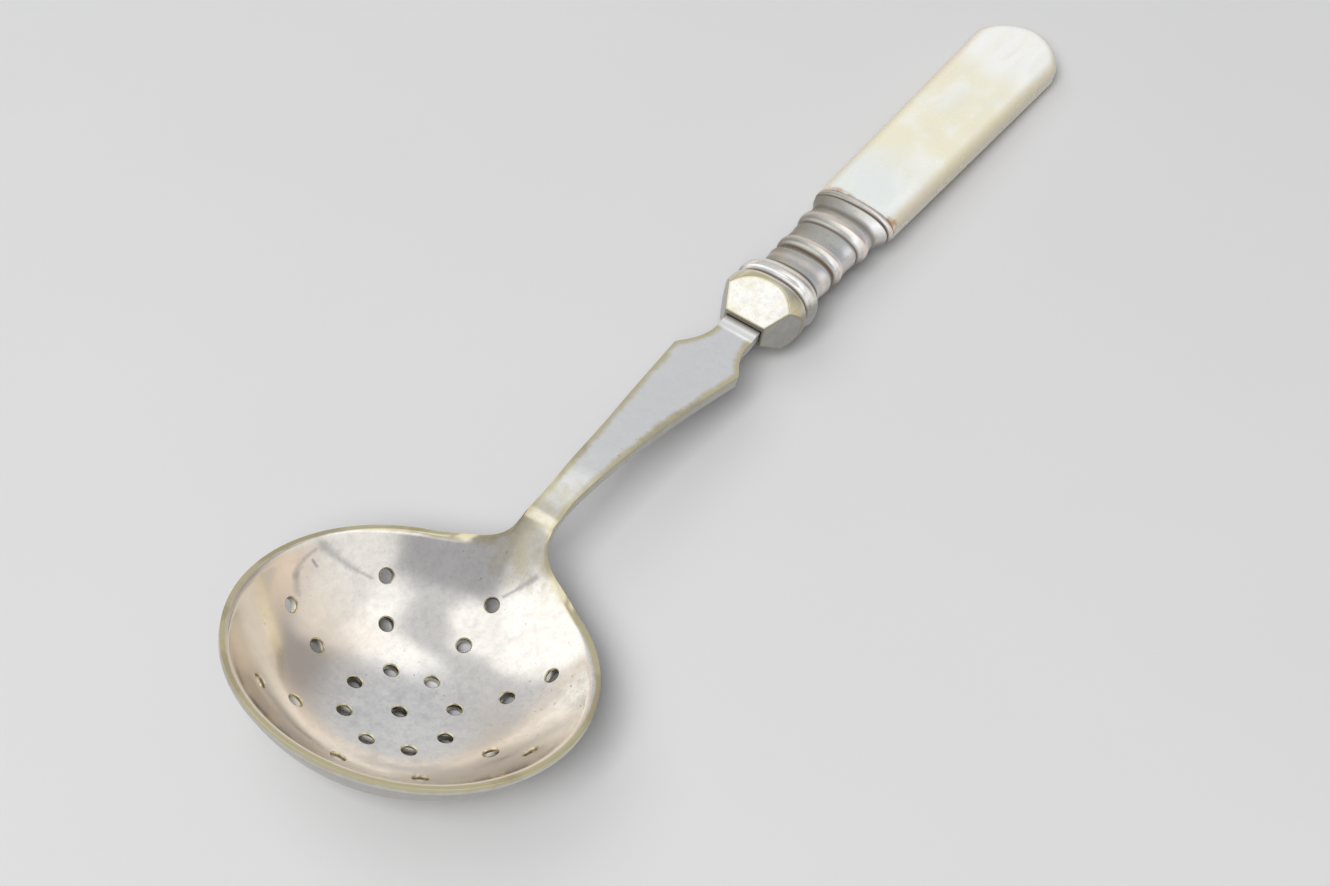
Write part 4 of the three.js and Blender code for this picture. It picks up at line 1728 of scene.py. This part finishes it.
@dataclass
class PearlHandle:
    """The slab of mother-of-pearl with its spigot and bore."""

    start: float = 29.2
    end: float = 82.9
    half_start: float = 5.55
    half_end: float = 6.5
    half_thickness: float = 2.15
    edge_reach: float = 1.7
    edge_height: float = 1.5
    round_length: float = 6.5
    round_power: float = 1.75
    spigot: tuple[float, float, float] = (19.0, 3.65, 1.8)
    spigot_sides: int = 64
    bore: tuple[float, float] = (1.35, 60.0)
    bore_sides: int = 48
    overlap: float = 1
    side_steps: int = 60
    round_steps: int = 40
    edge_steps: int = 10
    inner_rings: int = 6
    inner_length: float = 0.9
    seam: float = 0.001
    smooth_angle: float = 34

    def half_plan(self, inset: float) -> np.ndarray:
        """Plan outline of the left side, moved inwards: front, slow taper and full round.

        Args:
            inset: how far the outline is moved in.

        Returns:
            The points from the middle of the front to the middle of the end.
        """
        front = self.start - 2 * self.edge_reach
        round_start = self.end - self.round_length
        side_x = np.linspace(front, round_start, self.side_steps, endpoint=False)
        share = (side_x - front) / (round_start - front)
        side_y = self.half_start - inset + (self.half_end - self.half_start) * share
        turn = np.linspace(0, math.pi / 2, self.round_steps + 1)
        power = 2 / self.round_power
        round_x = round_start + (self.round_length - inset) * np.abs(np.sin(turn)) ** power
        round_y = (self.half_end - inset) * np.abs(np.cos(turn)) ** power
        middle = np.array([[front, 0.0]])
        side = np.stack([side_x, side_y], axis=1)
        rounded = np.stack([round_x, round_y], axis=1)
        return np.concatenate([middle, side, rounded])

    def plan(self, inset: float) -> np.ndarray:
        """Plan outline all the way round, one point for each spoke."""
        left = self.half_plan(inset)
        return np.concatenate([left, left[-2:0:-1] * [1, -1]])

    def flat_ring(self, share: float) -> tuple[np.ndarray, float]:
        """Lays out one ring of the slab's flat face.

        Args:
            share: how far out it lies, from the middle line to the eased edge.

        Returns:
            Its plan and its height.
        """
        outline = self.plan(self.edge_reach)
        middle = outline * [1, 0]
        flat = middle + (outline - middle) * share
        length = self.inner_length + (1 - self.inner_length) * share
        centre = outline[:, 0].mean()
        flat[:, 0] = centre + (outline[:, 0] - centre) * length
        return flat, self.half_thickness

    def edge_ring(self, share: float) -> tuple[np.ndarray, float]:
        """Lays out one ring of the slab's eased edge.

        Args:
            share: how far round the edge it lies.

        Returns:
            Its plan and its height.
        """
        angle = share * math.pi / 2
        height = self.half_thickness - self.edge_height * (1 - math.cos(angle))
        return self.plan(self.edge_reach * (1 - math.sin(angle))), height

    def grind_slab(self) -> Disc:
        """Grinds the slab: one half laid out from its middle to its edge, then mirrored.

        Returns:
            The closed slab, with its full length at the front.
        """
        spokes = len(self.plan(0))
        slab = Disc("pearl_slab", spokes, self.inner_rings + self.edge_steps)
        rings = [self.flat_ring(ring / self.inner_rings) for ring in range(self.inner_rings + 1)]
        rings += [self.edge_ring(ring / self.edge_steps) for ring in range(1, self.edge_steps + 1)]
        table = np.array([np.column_stack([flat, np.full(spokes, height)]) for flat, height in rings])
        table[0] = table[0].mean(axis=0)
        slab.lay(table[slab.ring, slab.spoke])
        slab.edit("EDGE")
        bpy.ops.mesh.select_all(action="SELECT")
        bpy.ops.mesh.region_to_loop()
        extrude(0, 0, self.edge_height - self.half_thickness)
        slab.clear_bench()
        slab.modify("MIRROR", use_axis=(False, False, True), use_mirror_merge=True, merge_threshold=self.seam)
        slab.close_up()
        return slab

    def square_front(self, slab: Workpiece) -> None:
        """Saws the slab's front square.

        Args:
            slab: the ground slab.
        """
        slab.edit("FACE")
        bpy.ops.mesh.select_all(action="SELECT")
        bpy.ops.mesh.bisect(plane_co=(self.start, 0, 0), plane_no=(-1, 0, 0), use_fill=True, clear_outer=True)
        slab.clear_bench()

    def add_spigot(self, slab: Workpiece) -> None:
        """Adds the oval spigot that the ferrule covers, and drills the bore for the tang.

        Args:
            slab: the sawn slab.
        """
        first, half, thickness = self.spigot
        root = self.start + self.overlap
        slab.combine(rod("spigot", (first, root), (half, thickness), self.spigot_sides), "UNION")
        radius, end = self.bore
        mouth = first - self.overlap
        slab.combine(rod("bore", (mouth, end), (radius, radius), self.bore_sides), "DIFFERENCE")

    def build(self, finish: bpy.types.Material) -> None:
        """Makes the handle slab.

        Args:
            finish: its material.
        """
        slab = self.grind_slab()
        self.square_front(slab)
        self.add_spigot(slab)
        points = slab.points()
        slab.note("along_mm", points[:, 0])
        slab.note("edge_mm", from_line(np.abs(points[:, :2]), self.half_plan(0)[1:]))
        slab.seat(FRAMES.handle(), "pearl_handle", Slot.PEARL, finish, self.smooth_angle)


# Studio


def direction(azimuth: float, elevation: float) -> Vector:
    """Finds a direction.

    Args:
        azimuth: its angle from +X, in degrees.
        elevation: its angle above the floor, in degrees.

    Returns:
        The unit vector that points there.
    """
    level = math.cos(math.radians(elevation))
    turn = math.radians(azimuth)
    return Vector((level * math.cos(turn), level * math.sin(turn), math.sin(math.radians(elevation))))


@dataclass(frozen=True)
class StudioCard:
    """A soft rectangle in the studio's surroundings that polished metal mirrors; angles are degrees."""

    azimuth: float
    elevation: float
    half_width: float
    half_height: float
    softness: float
    tone: RGBA
    roll: float = 0.0

    def axes(self) -> tuple[Vector, Vector, Vector]:
        """Finds the card's directions.

        Returns:
            The directions to its middle, to its right and to its top.
        """
        middle = direction(self.azimuth, self.elevation)
        right = Vector((0, 0, 1)).cross(middle).normalized()
        right = Matrix.Rotation(math.radians(self.roll), 3, middle) @ right
        return middle, right, middle.cross(right)

    def share(self, sheet: WorldSheet) -> Socket:
        """Finds how much of the card lies in each direction of the world.

        Args:
            sheet: the world's node sheet.

        Returns:
            1 on the card and 0 beside it.
        """
        nearly_beside, in_front = 0.01, 0.02
        ahead, across, over = (sheet.along_axis(axis) for axis in self.axes())
        depth = sheet.maths("MAXIMUM", ahead, nearly_beside)
        share = sheet.maths("GREATER_THAN", ahead, in_front)
        for offset, half in ((across, self.half_width), (over, self.half_height)):
            reach = math.tan(math.radians(half))
            place = sheet.maths("ABSOLUTE", sheet.maths("DIVIDE", offset, depth))
            inside = sheet.band(place, Range(reach + self.softness, reach - self.softness))
            share = sheet.product(share, inside)
        return share


@dataclass(frozen=True)
class SoftLamp:
    """A soft lamp for the spoon and floor; angles are degrees, lengths metres and its power watts.

    Metal doesn't mirror it: it mirrors the cards.
    """

    name: str
    azimuth: float
    elevation: float
    size: tuple[float, float]
    watts: float
    away: float = 2.2

    def hang(self) -> None:
        """Hangs the lamp, turned to the spoon."""
        data = bpy.data.lights.new(self.name, "AREA")
        data.shape = "RECTANGLE"
        data.size, data.size_y = self.size
        data.energy = self.watts
        lamp = bpy.data.objects.new(self.name, data)
        back = direction(self.azimuth, self.elevation)
        lamp.location = back * self.away
        lamp.rotation_euler = back.to_track_quat("Z", "Y").to_euler()
        lamp.visible_glossy = False
        lamp.visible_camera = False
        bpy.context.scene.collection.objects.link(lamp)


@dataclass
class Studio:
    """Pale floor, soft lamps and the photograph's camera; lengths are metres and angles degrees."""

    target: tuple[float, float, float] = (-0.012702, -0.000188, -0.000628)
    azimuth: float = -156.860
    elevation: float = 46.222
    roll: float = 12.472
    distance: float = 0.326526
    lens: float = 73.08
    film_width: float = 36
    nearest: float = 0.01
    floor_size: float = 6
    floor_colour: RGBA = (0.66, 0.66, 0.665, 1)
    floor_shade: float = 0.97
    floor_clouds: Clouds = Clouds(40, detail=2)
    floor_roughness: float = 0.9
    low_fill: RGBA = (0.08, 0.08, 0.082, 1)
    high_fill: RGBA = (0.31, 0.31, 0.315, 1)
    wall_tone: RGBA = (0.66, 0.66, 0.67, 1)
    horizon_tone: RGBA = (0.88, 0.79, 0.70, 1)
    horizon: Range = Range(0.34, 0.12)
    cards: tuple[StudioCard, ...] = (
        StudioCard(14, 32, 46, 15, 0.25, (0.62, 0.62, 0.63, 1)),
        StudioCard(-20, 20, 22, 20, 0.3, (0.38, 0.38, 0.40, 1)),
        StudioCard(111, 31, 25, 28, 0.12, (1.24, 1.23, 1.20, 1), roll=-4),
        StudioCard(118, 71, 18, 12, 0.1, (1.16, 1.15, 1.13, 1)),
        StudioCard(290, 38, 34, 21, 0.25, (0.90, 0.89, 0.87, 1)),
        StudioCard(290, 62, 18, 10, 0.1, (1.18, 1.17, 1.15, 1)),
        StudioCard(352, 58, 20, 11, 0.12, (1.16, 1.15, 1.13, 1)),
        StudioCard(204, 44, 30, 19, 0.07, (0.42, 0.42, 0.44, 1), roll=-8),
    )
    lamps: tuple[SoftLamp, ...] = (
        SoftLamp("main_lamp", 188, 47, (1.0, 1.0), 45.0),
        SoftLamp("side_lamp", 120, 60, (2.0, 1.6), 12.5),
    )

    def camera(self) -> None:
        """Sets up the camera of the photograph."""
        back = direction(self.azimuth, self.elevation)
        right = (-back).cross(Vector((0, 0, 1))).normalized()
        up = right.cross(-back)
        roll = math.radians(self.roll)
        turned_up = up * math.cos(roll) - right * math.sin(roll)
        turned_right = (-back).cross(turned_up)
        axes = Matrix((turned_right, turned_up, back)).transposed().to_4x4()
        data = bpy.data.cameras.new("camera")
        data.lens = self.lens
        data.sensor_width = self.film_width
        data.clip_start = self.nearest
        camera = bpy.data.objects.new("camera", data)
        camera.matrix_world = Matrix.Translation(Vector(self.target) + back * self.distance) @ axes
        bpy.context.scene.collection.objects.link(camera)
        bpy.context.scene.camera = camera

    def floor(self) -> None:
        """Lays the pale floor."""
        Workpiece.clear_bench()
        bpy.ops.mesh.primitive_plane_add(size=self.floor_size)
        floor = Workpiece("floor").object
        sheet = NodeSheet("pale_floor")
        shaded = tuple(self.floor_shade * channel for channel in self.floor_colour)
        shade = sheet.blend(sheet.noise(self.floor_clouds), self.floor_colour, shaded)
        sheet.join(shade, sheet.surface.inputs["Base Color"])
        sheet.constants({"Roughness": self.floor_roughness})
        floor.data.materials.append(sheet.material)

    def world(self) -> None:
        """Fills the room with even light and stands the cards round it, where metal mirrors them."""
        world = bpy.data.worlds.new("studio")
        bpy.context.scene.world = world
        world.use_nodes = True
        world.cycles.sampling_method = "NONE"
        sheet = WorldSheet(world)
        up = sheet.along_axis(Vector((0, 0, 1)))
        walls = sheet.blend(sheet.band(up, self.horizon), self.wall_tone, self.horizon_tone)
        walls = sheet.coats(walls, [(card.share(sheet), card.tone) for card in self.cards])
        fill = sheet.blend(sheet.band(up, Range(0, 1)), self.low_fill, self.high_fill)
        sheet.join(sheet.blend(sheet.seen(), fill, walls), sheet.surface.inputs["Color"])

    def build(self) -> None:
        """Sets the stage."""
        self.camera()
        self.floor()
        self.world()
        for lamp in self.lamps:
            lamp.hang()
        bpy.context.scene.view_settings.view_transform = "Standard"


# The spoon


BOWL_MARKS = (
    Mark(
        ((6.7, 17.35, -0.5), (7.7, 15.75, -2.0), (9.2, 13.5, -3.5), (10.1, 12.1, -4.1)),
        widths=(0.75, 0.5, 0.3), share=0.55,
    ),
    Mark(
        ((5.8, 17.4, -0.9), (4.3, 17.6, -1.3), (3.0, 17.5, -1.8), (2.2, 17.1, -2.5)),
        widths=(0.3, 0.4, 0.55), share=0.5,
    ),
    Mark(((2.2, 17.1, -2.5), (1.6, 16.2, -3.6)), widths=(0.8,), share=0.45),
    Mark(((5.0, 17.0, -1.8), (5.2, 16.5, -2.4)), widths=(0.25,), share=0.8),
    # painted reflection: this mark by the heel is the dark wedge between two bright reflections, painted on
    Mark(((17.3, -0.7, -2.8), (18.2, -1.7, -1.5), (19.4, -2.9, 0.3)), widths=(0.25, 0.45), share=0.7),
)
WORN_PLATE = SilverPlate("worn_silver_plate", marks=BOWL_MARKS)
# the bright plate's dark underside colour is the painted shade on the bolster's sides and lower faces
BRIGHT_PLATE = SilverPlate(
    "bright_silver_plate", underside=(0.20, 0.19, 0.17, 1), tarnish_share=0.25, roughness=0.12
)
# the dulled silver's underside colour is the painted shade on the ferrule's far and lower sides
DULLED_SILVER = SilverPlate(
    "dulled_silver",
    silver=(0.62, 0.61, 0.55, 1),
    worn=(0.95, 0.87, 0.81, 1),
    deep=(0.86, 0.75, 0.68, 1),
    underside=(0.24, 0.21, 0.17, 1),
    roughness=0.13,
)


def dress_cement(finish: bpy.types.Material) -> None:
    """Gives the hidden cement, which stays as its CAD solid, its finish.

    Args:
        finish: its material.
    """
    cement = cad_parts["cement_core"]
    cement.data.materials.clear()
    cement.data.materials.append(finish)
    LOG.info("cement_core: finished")


def main() -> None:
    """Builds the stage and the spoon, piece by piece."""
    logging.basicConfig(level=logging.INFO, format="%(name)s: %(message)s")
    Studio().build()
    BowlAndStem().build(WORN_PLATE.material())
    Bolster().build(BRIGHT_PLATE.material())
    Ferrule().build(DULLED_SILVER.material())
    PearlHandle().build(MotherOfPearl("mother_of_pearl").material())
    dress_cement(ResinCement("resin_cement").material())


if __name__ == "__main__":
    main()
